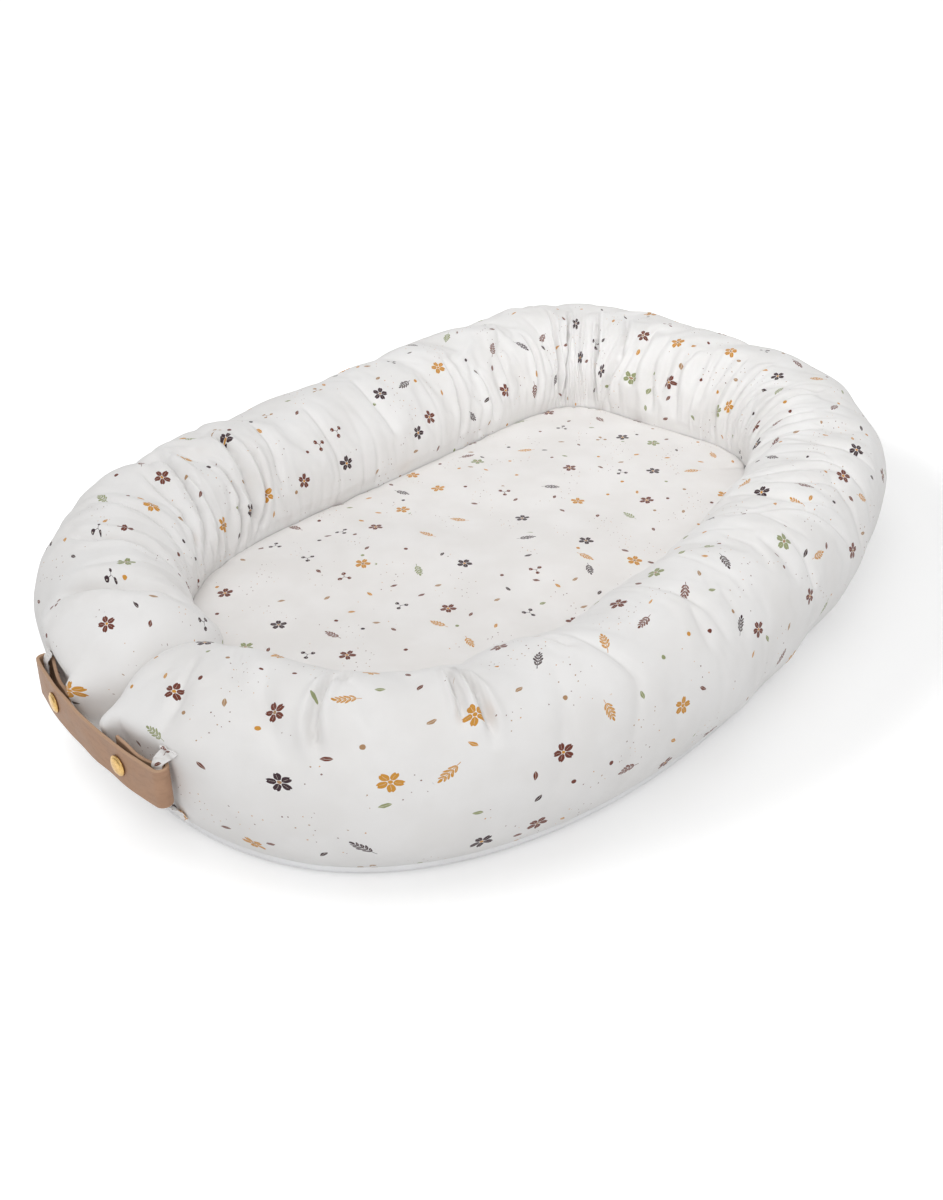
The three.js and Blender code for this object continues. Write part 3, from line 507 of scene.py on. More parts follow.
(roll_s, roll_angle), roll_tilt = roll_grid()
roll_degrees = np.mod(np.degrees(roll_angle), 360)
folded_angle = np.radians(np.where(roll_degrees > 300, roll_degrees - 360, roll_degrees))
seam_angle = angle_at(OUTER_SEAM_HEIGHT)

relief = fold_relief(roll_s, folded_angle, FOLDS + outer_creases(generator))
relief += pleats(roll_s, folded_angle, generator)
relief += waves(roll_s, roll_angle, generator)
relief += above_strap(roll_s, folded_angle)

# None of it at the rounded ends and the seams. Under the base the roll leaves its cloth room.
from_end = np.minimum(roll_s, PATH - roll_s)
fade_ends = smoothstep(from_end, 0.004, 0.03)
above_seam = np.mod(folded_angle - seam_angle + 0.05, 2 * np.pi)
at_seam = window(above_seam, 0.05, 0.42, 4.1, 4.4)
under_base = window(np.mod(seam_angle - roll_angle, 2 * np.pi), 0.0, 0.10, 2.15, 2.30)
relief = relief * fade_ends * at_seam + 0.0004 * (1 - at_seam) - 0.0024 * under_base
roll_points = roll_surface(roll_s, roll_angle, relief, roll_tilt, floor=0.0026)
slack = 1 - smoothstep(from_end, 0.0, END_SAG_LENGTH)
roll_points[..., 2] -= END_SAG * slack * smoothstep(roll_points[..., 2], 0.045, 0.135)

# Small wrinkles of the roll, from a simulation of its casing. LOOSENESS: share of the path and
# how much of the wrinkling stays there.
LOOSENESS = np.array([
    (0.00, 0.5), (0.06, 0.5), (0.10, 0.6), (0.18, 0.5), (0.26, 0.7), (0.34, 1.0), (0.40, 1.15),
    (0.62, 1.15), (0.70, 0.9), (0.74, 0.4), (0.81, 0.4), (0.84, 1.2), (0.92, 1.15), (1.00, 0.6),
]).T
CASING_EXCESS = 0.06
SIMULATED_FRAMES = 20
WRINKLE_GAIN = 1.3
WRINKLE_LIMIT = 0.009
CLOTH = {
    "quality": 5, "mass": 0.2, "tension_stiffness": 20, "compression_stiffness": 20,
    "shear_stiffness": 8, "bending_stiffness": 0.1, "tension_damping": 8, "compression_damping": 8,
    "shear_damping": 8, "bending_damping": 0.5, "use_pressure": True,
    "uniform_pressure_force": 2.5, "shrink_min": -CASING_EXCESS, "vertex_group_mass": "held",
}


def smoothed(values, rows, columns):
    """Values on the roll's grid blurred over so many rows and, round the section, columns."""
    kernel = np.exp(-0.5 * (np.arange(-2 * rows, 2 * rows + 1) / rows) ** 2)
    padded = np.pad(values, ((2 * rows, 2 * rows), (0, 0), (0, 0)), "edge")
    values = sum(k * padded[i:i + len(values)] for i, k in enumerate(kernel / kernel.sum()))
    kernel = np.exp(-0.5 * (np.arange(-2 * columns, 2 * columns + 1) / columns) ** 2)
    kernel /= kernel.sum()
    return sum(k * np.roll(values, i - 2 * columns, axis=1) for i, k in enumerate(kernel))


def simulated_wrinkles(points, free):
    """Shift of the roll's points when its casing, a little too large, is blown up as cloth.

    free is 1 where the cloth may move and 0 where the seams hold it."""
    scene = bpy.context.scene
    coarse = points[::2, ::2]
    held = 1 - free[::2, ::2].reshape(-1)
    obj = make_mesh("casing", coarse.reshape(-1, 3), grid_faces(*coarse.shape[:2]))
    group = obj.vertex_groups.new(name="held")
    for i, weight in enumerate(held):
        group.add([i], float(weight), "REPLACE")
    modifier = obj.modifiers.new("cloth", "CLOTH")
    for setting, value in CLOTH.items():
        setattr(modifier.settings, setting, value)
    modifier.settings.effector_weights.gravity = 0
    modifier.point_cache.frame_start = 1
    modifier.point_cache.frame_end = SIMULATED_FRAMES
    first_frame = scene.frame_current
    for step in range(1, SIMULATED_FRAMES + 1):
        scene.frame_set(step)
    shaped = obj.evaluated_get(bpy.context.evaluated_depsgraph_get()).to_mesh()
    moved = np.zeros(len(shaped.vertices) * 3)
    shaped.vertices.foreach_get("co", moved)
    shift = moved.reshape(coarse.shape) - coarse
    bpy.data.objects.remove(obj)
    scene.frame_set(first_frame)

    # Only the fine part stays, cut to a limit, and less of it on the taut outer side
    shift = WRINKLE_GAIN * (shift - smoothed(shift, 8, 6))
    size = np.linalg.norm(shift, axis=-1, keepdims=True)
    shift *= np.minimum(1, WRINKLE_LIMIT / np.maximum(size, 1e-9))
    taut = 1 - 0.6 * smoothstep(np.cos(roll_angle[::2, ::2]), 0.2, 0.9)
    shift *= (taut * np.interp(roll_s[::2, ::2] / PATH, *LOOSENESS))[..., None]
    fine = np.zeros(points.shape)
    fine[::2, ::2] = shift
    fine[1::2, ::2] = (shift[:-1] + shift[1:]) / 2
    fine[:, 1::2] = (fine[:, ::2] + np.roll(fine[:, ::2], -1, axis=1)) / 2
    return smoothed(fine, 1, 1) * free[..., None]


free = window(above_seam, 0.05, 0.35, 3.75, 4.1)
roll_points += simulated_wrinkles(roll_points, free * smoothstep(from_end, 0.004, 0.03))

sharper = [(line, SHARP_DEPTH * depth, max(SHARP_WIDTH * width, SHARP_LEAST_WIDTH))
           for line, depth, width in FOLDS]
sharp = fold_relief(roll_s, folded_angle, sharper) * (fade_ends * at_seam)
section_normal = np.concatenate([path_frame(roll_s)[2] * np.cos(roll_angle)[..., None],
                                 np.sin(roll_angle)[..., None]], -1)
roll_points += section_normal * sharp[..., None]


def close_end(points, faces, uv, first, ring, flip):
    """The roll's mesh with a flat end: shrinking rings and a middle point. first is the index of
    the ring's first point."""
    count = len(ring)
    middle = ring.mean(0)
    rings = [middle + (ring - middle) * (1 - k / CAP_RINGS) for k in range(CAP_RINGS)]
    previous = first + np.arange(count)
    quads, corners = [], []
    for before, here in zip(rings, rings[1:]):
        current = len(points) + np.arange(count)
        points = np.concatenate([points, here])
        quads.append(np.stack([previous, np.roll(previous, -1), np.roll(current, -1), current], -1))
        corners.append(np.stack([before, np.roll(before, -1, 0), np.roll(here, -1, 0), here], 1))
        previous = current
    points = np.concatenate([points, middle[None]])
    last = np.full(count // 2, len(points) - 1)
    quads.append(np.stack([previous[::2], previous[1::2], np.roll(previous, -2)[::2], last], -1))
    corners.append(np.broadcast_to(middle, (count // 2, 4, 3)))
    order = slice(None, None, -1 if flip else 1)
    quads, corners = np.concatenate(quads)[:, order], np.concatenate(corners)[:, order, 1:]
    return points, np.concatenate([faces, quads]), np.concatenate([uv, corners.reshape(-1, 2)])


# The print's v is the length round this row of the grid, whose last point is so far from its first
GIRTH_ROW, GIRTH_CLOSING = 300, 0.0042
girth = running(line_steps(roll_points[GIRTH_ROW]))
roll_v = np.repeat(girth[None], len(roll_s), 0)
roll_faces = grid_faces(len(roll_s), ROUND)
roll_uv = grid_uv(roll_s, roll_v, girth[-1] + GIRTH_CLOSING)
roll_mesh = (roll_points.reshape(-1, 3), roll_faces, roll_uv)
roll_mesh = close_end(*roll_mesh, 0, roll_points[0], flip=False)
roll_mesh = close_end(*roll_mesh, (len(roll_s) - 1) * ROUND, roll_points[-1], flip=True)
roll = make_mesh("roll_printed_cotton", *roll_mesh)


# Mattress: rings from its edge to a spine along its middle
SPINE_REACH, EDGE_TUCK = 0.135, 0.0022
PANEL_THICKNESS, PANEL_INSET = 0.0014, 0.0002
FOAM_DROP, FOAM_INSET, FOAM_FLOOR = 0.0021, 0.0016, 0.0003
EDGE_ROUNDING, EDGE_ROUNDING_REACH = 0.0020, 0.006
PUCKERS, PUCKER_DEPTH, PUCKER_REACH = 60, 0.0016, 0.018


def outline(angle, moved, inset=0.0, floor=0.0):
    """Ring on the roll at a section angle, moved inwards and led straight across the cleft."""
    s = body_places(RING_POINTS - CLEFT_POINTS)
    ring = roll_surface(s, np.full(len(s), angle), inset=inset, floor=floor)
    ring[:, :2] -= path_frame(s)[2] * moved
    share = np.linspace(0, 1, CLEFT_POINTS + 2)[1:-1, None]
    return np.concatenate([ring, ring[-1] * (1 - share) + ring[0] * share])


mattress_edge = outline(np.pi - angle_at(MATTRESS_EDGE), -EDGE_TUCK)
mattress_edge = np.roll(mattress_edge, CLEFT_POINTS // 2, axis=0)
mattress_spine = mattress_edge.copy()
spine_share = np.abs(np.arange(RING_POINTS) / RING_POINTS * 2 - 1)
mattress_spine[:, :2] = mattress_edge.mean(0)[:2]
mattress_spine[:, 0] += HEAD_LEAN * 0.4 * (2 * spine_share - 1)
mattress_spine[:, 1] += SPINE_REACH * (1 - 2 * spine_share)


def mattress_surface(drop, inset):
    """Rings of the lying surface from its edge to its spine, lowered by drop."""
    generator = np.random.default_rng(21)
    share = (np.linspace(0, 1, MATTRESS_RINGS) ** 1.25)[:, None]
    x, y = (mattress_edge[None, :, k] * (1 - share) + mattress_spine[None, :, k] * share
            for k in (0, 1))
    around = np.linspace(0, 1, RING_POINTS, endpoint=False)[None]
    gap = mattress_edge - mattress_spine
    from_edge = share * np.hypot(gap[:, 0], gap[:, 1])[None]
    height = (MATTRESS_EDGE + MATTRESS_CROWN * (1 - (1 - share) ** 2)
              - EDGE_ROUNDING * np.exp(-((from_edge / EDGE_ROUNDING_REACH) ** 1.5)))
    puckers = np.zeros(from_edge.shape)
    for _ in range(PUCKERS):
        centre = generator.uniform(0, 1)
        width = generator.uniform(0.0018, 0.0045)
        off = np.abs((around - centre + 0.5) % 1 - 0.5)
        puckers -= generator.uniform(0.2, 1.0) * np.exp(-((off / width) ** 2))
    height += PUCKER_DEPTH * puckers * np.exp(-from_edge / PUCKER_REACH)
    height += slow_noise(x, y, generator, 18, 0.06, 0.24, 0.0010) * smoothstep(from_edge, 0, 0.05)
    points = np.stack([x, y, height - drop], -1)
    points[..., :2] += -unit(gap[:, :2])[None] * inset * (1 - share[..., None])
    return points


panel_top, panel_under = mattress_surface(0.0, 0.0), mattress_surface(PANEL_THICKNESS, PANEL_INSET)
panel = closed_on_spines("mattress_printed_panel", np.concatenate([panel_top[::-1], panel_under]))

foam_top = mattress_surface(FOAM_DROP, FOAM_INSET)
foam_bottom = np.concatenate([foam_top[::6], foam_top[-1:]])
foam_bottom[:, :, 2] = BASE_RISE + BASE_THICKNESS + FOAM_FLOOR
foam_side = (foam_top[:1] + foam_bottom[:1]) / 2
foam = closed_on_spines("mattress_foam", np.concatenate([foam_top[::-1], foam_side, foam_bottom]))

# Underside
TAPES = [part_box("zip_tape_left"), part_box("zip_tape_right")]
ZIP_MIDDLE = np.array([(TAPES[0][0].x + TAPES[1][1].x) / 2,
                       (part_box("zip_stop_foot")[0].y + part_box("zip_stop_head")[1].y) / 2])
SLOT_HALF_WIDTH, SLOT_HALF_LENGTH = 0.007, 0.2043
contact = angle_at(0.0)


def slot_ring(ring):
    """Rectangle round the zip, where the ways from the ring's points to the zip's line meet it."""
    x, y = (ring[:, :2] - ZIP_MIDDLE).T
    middle = y / np.abs(y).max() * (SLOT_HALF_LENGTH - SLOT_HALF_WIDTH)
    way = y - middle
    room_x = SLOT_HALF_WIDTH / np.maximum(np.abs(x), 1e-9)
    room_y = (SLOT_HALF_LENGTH - middle * np.sign(way)) / np.maximum(np.abs(way), 1e-9)
    room = np.minimum(room_x, room_y)
    return np.stack([x * room, middle + way * room], -1) + ZIP_MIDDLE


def base_rings(lift):
    """Rings of the underside from the seam to the zip's slot. lift is the height in the cloth."""
    rings = [outline(angle, 0.0, lift, lift) for angle in np.linspace(seam_angle, contact, 7)]
    for ring in rings:
        ring[:, 2] = np.maximum(ring[:, 2] - 0.0003, lift)
    # The pad behind the cloth makes it stand upright below the seam
    seam_ring, floor_ring = rings[0].copy(), rings[-1].copy()
    for ring in rings:
        share = (ring[:, 2] - floor_ring[:, 2]) / (seam_ring[:, 2] - floor_ring[:, 2])
        bulge = np.sqrt(1 - (1 - share) ** 4)[:, None]
        ring[:, :2] = floor_ring[:, :2] + (seam_ring - floor_ring)[:, :2] * bulge
    outer, inner = rings[-1], outline(np.pi - contact, 0.0)
    outer[:, 2] = inner[:, 2] = lift
    rings += [outer * (1 - t) + inner * t for t in (0.25, 0.5, 0.75)]
    raised = outline(np.pi - contact, BASE_RISE_RUN)
    raised[:, 2] = BASE_RISE + lift
    for t in np.linspace(0, 1, 7):
        ring = inner * (1 - t) + raised * t
        ring[:, 2] = lift + BASE_RISE * t * t * (3 - 2 * t)
        rings.append(ring)
    slot = np.concatenate([slot_ring(raised), raised[:, 2:]], 1)
    rings += [raised * (1 - t) + slot * t for t in np.linspace(0, 1, 15)[1:]]
    return np.array(rings)


def underside():
    """Cloth under everything, which sags a little but for its edge and the slot's."""
    below, above = base_rings(0.0), base_rings(BASE_THICKNESS)
    x, y = below[..., 0], below[..., 1]
    sag = np.abs(slow_noise(x, y, np.random.default_rng(5), 24, 0.03, 0.14, 0.0004))
    sag[:17] = sag[-3:] = 0
    below[..., 2] -= sag
    above[..., 2] -= sag
    rings = np.concatenate([below, above[::-1]])
    faces = grid_faces(*rings.shape[:2], closed_rows=True)
    return plan_mesh("underside_cloth", rings.reshape(-1, 3), faces)


base = underside()

# Zip: two tapes, each with its chain, a row of nylon coils along the inner edge
TAPE_HALF_THICKNESS, TAPE_SETBACK, TAPE_FLAT = 0.00030, 0.0012, (0.014, 0.400)
COIL_OFFSET, COIL_HALF_WIDTH, COIL_HALF_HEIGHT = 0.0011, 0.00104, 0.00076
COIL_STEP, COIL_PITCH, COIL_LEAN = 0.0005, 0.0020, 0.0004


def zip_tape(side, word):
    low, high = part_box("zip_tape_" + word)
    middle_z = (low.z + high.z) / 2
    generator = np.random.default_rng(31 + side)
    y = np.linspace(low.y, high.y, 260)
    x = np.linspace(low.x + (TAPE_SETBACK if side > 0 else 0),
                    high.x - (TAPE_SETBACK if side < 0 else 0), 12)
    gx, gy = np.meshgrid(x, y)
    wave = slow_noise(gx, gy, generator, 10, 0.02, 0.09, 0.00006)
    top = np.stack([gx, gy, middle_z + TAPE_HALF_THICKNESS + wave], -1)
    under = np.stack([gx, gy, middle_z - TAPE_HALF_THICKNESS + wave], -1)
    loop = np.concatenate([top, under[:, ::-1]], 1)
    faces = grid_faces(*loop.shape[:2])[:, ::-1].tolist() + strip_ends(*loop.shape[:2], True)
    tape = plan_mesh("zip_tape_cloth_" + word, loop.reshape(-1, 3), faces)

    inner = high.x if side < 0 else low.x
    turn = np.linspace(0, 2 * np.pi, 12, endpoint=False)
    steps = np.arange(low.y + 0.0003, high.y, COIL_STEP)
    swell = 0.84 + 0.16 * np.cos(2 * np.pi * steps / COIL_PITCH)
    ring_x = inner + side * COIL_OFFSET + COIL_HALF_WIDTH * swell[:, None] * np.cos(turn)[None]
    ring_z = middle_z + COIL_HALF_HEIGHT * swell[:, None] * np.sin(turn)[None]
    ring_y = steps[:, None] + COIL_LEAN * np.cos(turn)[None]
    rings = np.stack([ring_x, ring_y, ring_z], -1)
    ends = rings[0].mean(0), rings[-1].mean(0)
    return tape, closed_rings("zip_coil_" + word, rings[:, ::-1], *ends)


zips = {"left": zip_tape(-1, "left"), "right": zip_tape(1, "right")}


# Strap
STRIP_STEP, STRIP_EDGE_RADIUS = 0.0016, 0.00085
STRIP_GAP, STRIP_ROUND = 0.002, 2 * STRAP_WIDTH + 0.004
TAIL_NARROWING = 0.38
CAP_RADIUS, CAP_FRONT, CAP_GAP = 0.008, 0.0046, 0.0003


def band_point(along, depth):
    """Local place at a distance along the bowed band and a depth behind its middle layer."""
    along, depth = np.broadcast_arrays(np.asarray(along, float), np.asarray(depth, float))
    turn = along / STRAP_BOW_RADIUS
    reach = STRAP_BOW_RADIUS - depth
    return np.stack([reach * np.sin(turn), STRAP_BOW_RADIUS - reach * np.cos(turn)], -1)


def strap_to_world(local, height):
    c, s = math.cos(STRAP_TURN), math.sin(STRAP_TURN)
    x = STRAP_ORIGIN[0] + c * local[..., 0] - s * local[..., 1]
    y = STRAP_ORIGIN[1] + s * local[..., 0] + c * local[..., 1]
    return np.stack([x, y, height + 0 * x], -1)


def even_line(line, spacing):
    """The line at even spacing, and the distances along it."""
    line = np.asarray(line)
    length = running(line_steps(line))
    place = np.linspace(0, length[-1], max(8, int(round(length[-1] / spacing))) + 1)
    return np.stack([np.interp(place, length, line[:, k]) for k in (0, 1)], -1), place


def line_normal(line):
    tangent = unit(np.gradient(line, axis=0))
    return np.stack([-tangent[:, 1], tangent[:, 0]], -1)


def leather_strip(name, line, seed, narrowing=0.0):
    """Leather strap of even thickness along a line, with rounded edges. uv is in metres.

    narrowing is the share of its width that the line's first end lacks."""
    line, place = even_line(line, STRIP_STEP)
    normal = line_normal(line)
    half, radius, middle = LEATHER / 2, STRIP_EDGE_RADIUS, STRAP_WIDTH / 2
    turns = np.radians([0, 22, 45, 68, 90])
    z = np.concatenate([radius * (1 - np.cos(turns)),
                        np.linspace(radius, STRAP_WIDTH - radius, 22)[1:-1],
                        STRAP_WIDTH - radius + radius * np.sin(turns)])
    lift = np.concatenate([half - radius + radius * np.sin(turns), np.full(20, half),
                           half - radius + radius * np.cos(turns)])
    edge = np.minimum(place, place[-1] - place)
    round_off = radius - np.sqrt(np.maximum(radius**2 - (radius - edge) ** 2, 0))
    shrink = np.where(edge < radius, round_off, 0)[:, None]
    gx, gz = np.meshgrid(place, z, indexing="ij")
    sag = slow_noise(gx, gz, np.random.default_rng(seed), 14, 0.02, 0.08, 0.00022)
    sag *= smoothstep(edge, 0, 0.01)[:, None]
    narrow = 1 - narrowing * (1 - smoothstep(place, 0.012, 0.042))
    height = STRAP_BOTTOM + (middle + (z[None] - middle) * (1 - shrink / middle) * narrow[:, None])
    lift = np.maximum(lift[None] - shrink, 0.0001)
    front = strap_to_world(line[:, None] - normal[:, None] * (lift - sag)[..., None], height)
    back = strap_to_world(line[:, None] + normal[:, None] * (lift + sag)[..., None], height)
    loop = np.concatenate([front, back[:, ::-1]], 1)
    rows, columns = loop.shape[:2]
    u = np.repeat(place[:, None], columns, 1)
    v_row = np.concatenate([z, 2 * STRAP_WIDTH + STRIP_GAP - z[::-1]])
    ends = strip_ends(rows, columns, False)
    end_uv = [(u.reshape(-1)[k], 0.0) for quad in ends for k in quad]
    uv = np.concatenate([grid_uv(u, np.repeat(v_row[None], rows, 0), STRIP_ROUND), end_uv])
    return make_mesh(name, loop.reshape(-1, 3), grid_faces(rows, columns).tolist() + ends, uv)


def fold_line(side):
    angle = np.linspace(0, np.pi, 33)[1:]
    along = STRAP_HALF_SPAN + FOLD_DEPTH / 2 * np.sin(angle)
    depth = FOLD_DEPTH / 2 * (1 - np.cos(angle))
    along, depth = np.append(along, STRAP_HALF_SPAN - 0.002), np.append(depth, FOLD_DEPTH)
    return band_point(side * along, depth)


def tail_line(side):
    """Line of a tail behind the band, always towards the strap's left."""
    start, end = STRAP_HALF_SPAN - 0.0023, SNAP_PLACE - 0.012
    along = np.linspace(start, end, 40)
    closing = smoothstep(start - along, 0, start - SNAP_PLACE - 0.00575)
    line = band_point(side * along, FOLD_DEPTH + (SNAP_DEPTH - FOLD_DEPTH) * closing)
    return line if side > 0 else line[::-1]


band_middle = band_point(np.linspace(-STRAP_HALF_SPAN, STRAP_HALF_SPAN, 120), 0)
band_line = np.concatenate([fold_line(-1)[::-1], band_middle, fold_line(1)])
band = leather_strip("strap_leather_band", band_line, 3)
tails = {
    "left": leather_strip("strap_leather_tail_left", tail_line(-1), 4, TAIL_NARROWING),
    "right": leather_strip("strap_leather_tail_right", tail_line(1), 8, TAIL_NARROWING),
}


def snap_cap(side, word):
    """Domed cap with a rolled rim, on the band's front, and its post through the leather."""
    seat = -LEATHER / 2 - CAP_GAP
    profile = [(CAP_RADIUS * share, seat - 0.0011 - 0.0019 * math.sqrt(1 - (share * 0.98) ** 2))
               for share in np.linspace(0.12, 0.80, 9)]
    profile += [(0.0068, seat - 0.00165), (0.0071, seat - 0.00150), (0.0074, seat - 0.00158),
                (0.0077, seat - 0.00145), (0.00795, seat - 0.00110), (0.0080, seat - 0.00070),
                (0.00785, seat - 0.00025), (0.0074, seat), (0.0045, seat), (0.0020, seat),
                (0.0020, seat + 0.0015), (0.0020, seat + 0.0030), (0.0018, seat + 0.0033)]
    profile = np.array(profile)
    turn = np.linspace(0, 2 * np.pi, 56, endpoint=False)
    local_x = profile[:, :1] * np.cos(turn)[None]
    local_z = profile[:, :1] * np.sin(turn)[None]
    depth = np.repeat(profile[:, 1:], len(turn), 1)
    place = band_point(side * SNAP_PLACE, 0)
    lean = side * SNAP_PLACE / STRAP_BOW_RADIUS
    x = place[0] + math.cos(lean) * local_x - math.sin(lean) * depth
    y = place[1] + math.sin(lean) * local_x + math.cos(lean) * depth
    middle = STRAP_BOTTOM + STRAP_WIDTH / 2
    rings = strap_to_world(np.stack([x, y], -1), middle + local_z)
    front = place + np.array([math.sin(lean), -math.cos(lean)]) * CAP_FRONT
    front = strap_to_world(front, middle)
    return closed_rings("snap_brass_cap_" + word, rings, front, rings[-1].mean(0))


caps = {"left": snap_cap(-1, "left"), "right": snap_cap(1, "right")}


# Fabric loops. Each goes down through the strap's fold and is sewn to the roll at both ends.
LOOP_WIDTH, LOOP_ALONG = 0.012, STRAP_HALF_SPAN - 0.003
LOOP_DRIFT = {"left": 0.0, "right": 0.008}
LOOP_STEP, IN_FOLD, LOOP_MIDDLE = 0.0009, 0.0055, 0.064
LOOP_HEIGHTS = [0.0225, 0.027, 0.032, 0.038, 0.045, 0.052, 0.064, 0.075]
LOOP_TOP = {"left": 0.0865, "right": 0.0935}
LOOP_CREASES, CREASE_LIMIT = 26, 0.0016
LOOP_HALF_THICKNESS, LOOP_BEHIND, LOOP_AHEAD = 0.0007, 0.0125, 0.0058
roll_tree = BVHTree.FromPolygons(roll_points.reshape(-1, 3).tolist(), roll_faces.tolist())


def roll_depth(along, height):
    """Depth of the roll's surface behind the band's middle layer, by place and height."""
    start = Vector(strap_to_world(band_point(along, -0.01), height))
    towards = Vector(strap_to_world(band_point(along, 0.05), height)) - start
    hit = roll_tree.ray_cast(start, towards.normalized())
    return hit[3] - 0.01


def belt_loop(side, word):
    """Sewn loop of the printed cloth, gathered where it passes through the strap's fold."""
    generator = np.random.default_rng(60 + side)
    along = side * LOOP_ALONG

    def spread(height):
        return smoothstep(np.asarray(height), 0.079, 0.0925)

    def on_roll(height):
        return roll_depth(along + LOOP_DRIFT[word] * float(spread(height)), height) - 0.0009

    heights = LOOP_HEIGHTS + list(np.linspace(0.0800, LOOP_TOP[word], 5))
    lower, upper = [on_roll(h) for h in heights[:3]], [on_roll(h) for h in heights[10:]]
    turns = [(lower[-1] + IN_FOLD) / 2, (upper[0] + IN_FOLD) / 2]
    depths = lower + turns[:1] + [IN_FOLD] * 5 + turns[1:] + upper
    line, place = even_line(np.stack([depths, heights], -1), LOOP_STEP)
    smooth = np.pad(line, ((4, 4), (0, 0)), "edge")
    line = np.stack([np.convolve(smooth[:, k], np.ones(9) / 9, "valid") for k in (0, 1)], -1)
    normal = -line_normal(line)
    gather = bell(line[:, 1], LOOP_MIDDLE, 0.020, 4)
    width = LOOP_WIDTH / 2 * (1 - 0.16 * gather + 0.45 * spread(line[:, 1]))
    offset = np.linspace(-1, 1, 15)
    creases = np.zeros((len(line), len(offset)))
    for _ in range(LOOP_CREASES):
        middle = generator.uniform(0, place[-1])
        slope = generator.uniform(-0.0035, 0.0035)
        size = generator.uniform(0.0003, 0.0010)
        crease_width = generator.uniform(0.0007, 0.0018)
        gap = place[:, None] - middle - slope * offset[None]
        creases += size * np.exp(-((gap / crease_width) ** 2)) * generator.choice([-1, 1])
    creases += 0.00035 * np.cos(offset * 7 + generator.uniform(0, 6))[None]
    creases = np.clip(creases, -CREASE_LIMIT, CREASE_LIMIT)
    half = LOOP_HALF_THICKNESS * (1 - 0.5 * np.abs(offset) ** 6)
    sides = []
    for direction in (1, -1):
        depth = line[:, :1] - normal[:, :1] * (direction * half[None]) + creases
        height = line[:, 1:] - normal[:, 1:] * (direction * half[None])
        across = along + LOOP_DRIFT[word] * spread(height) + offset[None] * width[:, None]
        for i in np.ndindex(depth.shape):
            if spread(height[i]) > 0:
                on_cloth = roll_depth(across[i], height[i]) - 0.0002 - direction * 0.0005
                depth[i] = min(depth[i], on_cloth)
        sides.append(strap_to_world(band_point(across, depth), height))
    loop = np.concatenate([sides[0], sides[1][:, ::-1]], 1)
    rows, columns = loop.shape[:2]
    faces = grid_faces(rows, columns)[:, ::-1].tolist() + strip_ends(rows, columns, True)
    u = np.repeat(place[:, None], columns, 1) + 0.3 * side
    v = np.repeat(np.concatenate([offset, 2.2 - offset[::-1]])[None], rows, 0) * LOOP_WIDTH / 2
    uv = np.stack([u.reshape(-1), v.reshape(-1)], -1)
    uv = np.concatenate([uv[f] for f in faces])
    piece = make_mesh("belt_loop_cloth_" + word, loop.reshape(-1, 3), faces, uv)
    start, end = (Vector(strap_to_world(band_point(along, depth), LOOP_MIDDLE))
                  for depth in (LOOP_BEHIND, LOOP_AHEAD))
    return piece, start, end, float(place[-1])


loops = {"left": belt_loop(-1, "left"), "right": belt_loop(1, "right")}


def operation(name, swapped=False):
    """Method of Value that applies a math node."""
    def method(self, other=None):
        return self.nodes.math(name, *((other, self) if swapped else (self, other)))
    return method


class Value:
    """Output of a shader node, to calculate with."""

    __add__, __radd__ = operation("ADD"), operation("ADD", True)
    __sub__, __rsub__ = operation("SUBTRACT"), operation("SUBTRACT", True)
    __mul__, __rmul__ = operation("MULTIPLY"), operation("MULTIPLY", True)
    __rtruediv__, __mod__ = operation("DIVIDE", True), operation("FLOORED_MODULO")
    __pow__, __abs__ = operation("POWER"), operation("ABSOLUTE")
    __lt__, __gt__ = operation("LESS_THAN"), operation("GREATER_THAN")
    max, min = operation("MAXIMUM"), operation("MINIMUM")
    sin, cos, atan2 = operation("SINE"), operation("COSINE"), operation("ARCTAN2")
    sqrt, floor = operation("SQRT"), operation("FLOOR")

    def __init__(self, nodes, socket):
        self.nodes, self.socket = nodes, socket

    def vector(self, name, other):
        return self.nodes.value("VectorMath", {0: self, 1: other}, operation=name)

    def scaled(self, x, y, z=1.0):
        return self.vector("MULTIPLY", (x, y, z))

    def parts(self):
        return self.nodes.values("SeparateXYZ", {"Vector": self})

    def ramp(self, low, high, start=0.0, end=1.0):
        """Smooth change from start to end while the value goes from low to high."""
        limits = {"Value": self, "From Min": low, "From Max": high, "To Min": start, "To Max": end}
        return self.nodes.value("MapRange", limits, interpolation_type="SMOOTHSTEP")

    def below(self, limit, soft):
        return self.ramp(limit - soft, limit + soft, 1.0, 0.0)

    def noise(self, scale, detail=2.0, roughness=0.5, dimensions="3D", output="Fac"):
        inputs = {"Vector": self, "Scale": scale, "Detail": detail, "Roughness": roughness}
        return self.nodes.value("TexNoise", inputs, output, noise_dimensions=dimensions)

    def bump(self, distance, strength, normal=None):
        inputs = {"Height": self, "Distance": distance, "Strength": strength, "Normal": normal}
        return self.nodes.value("Bump", inputs)


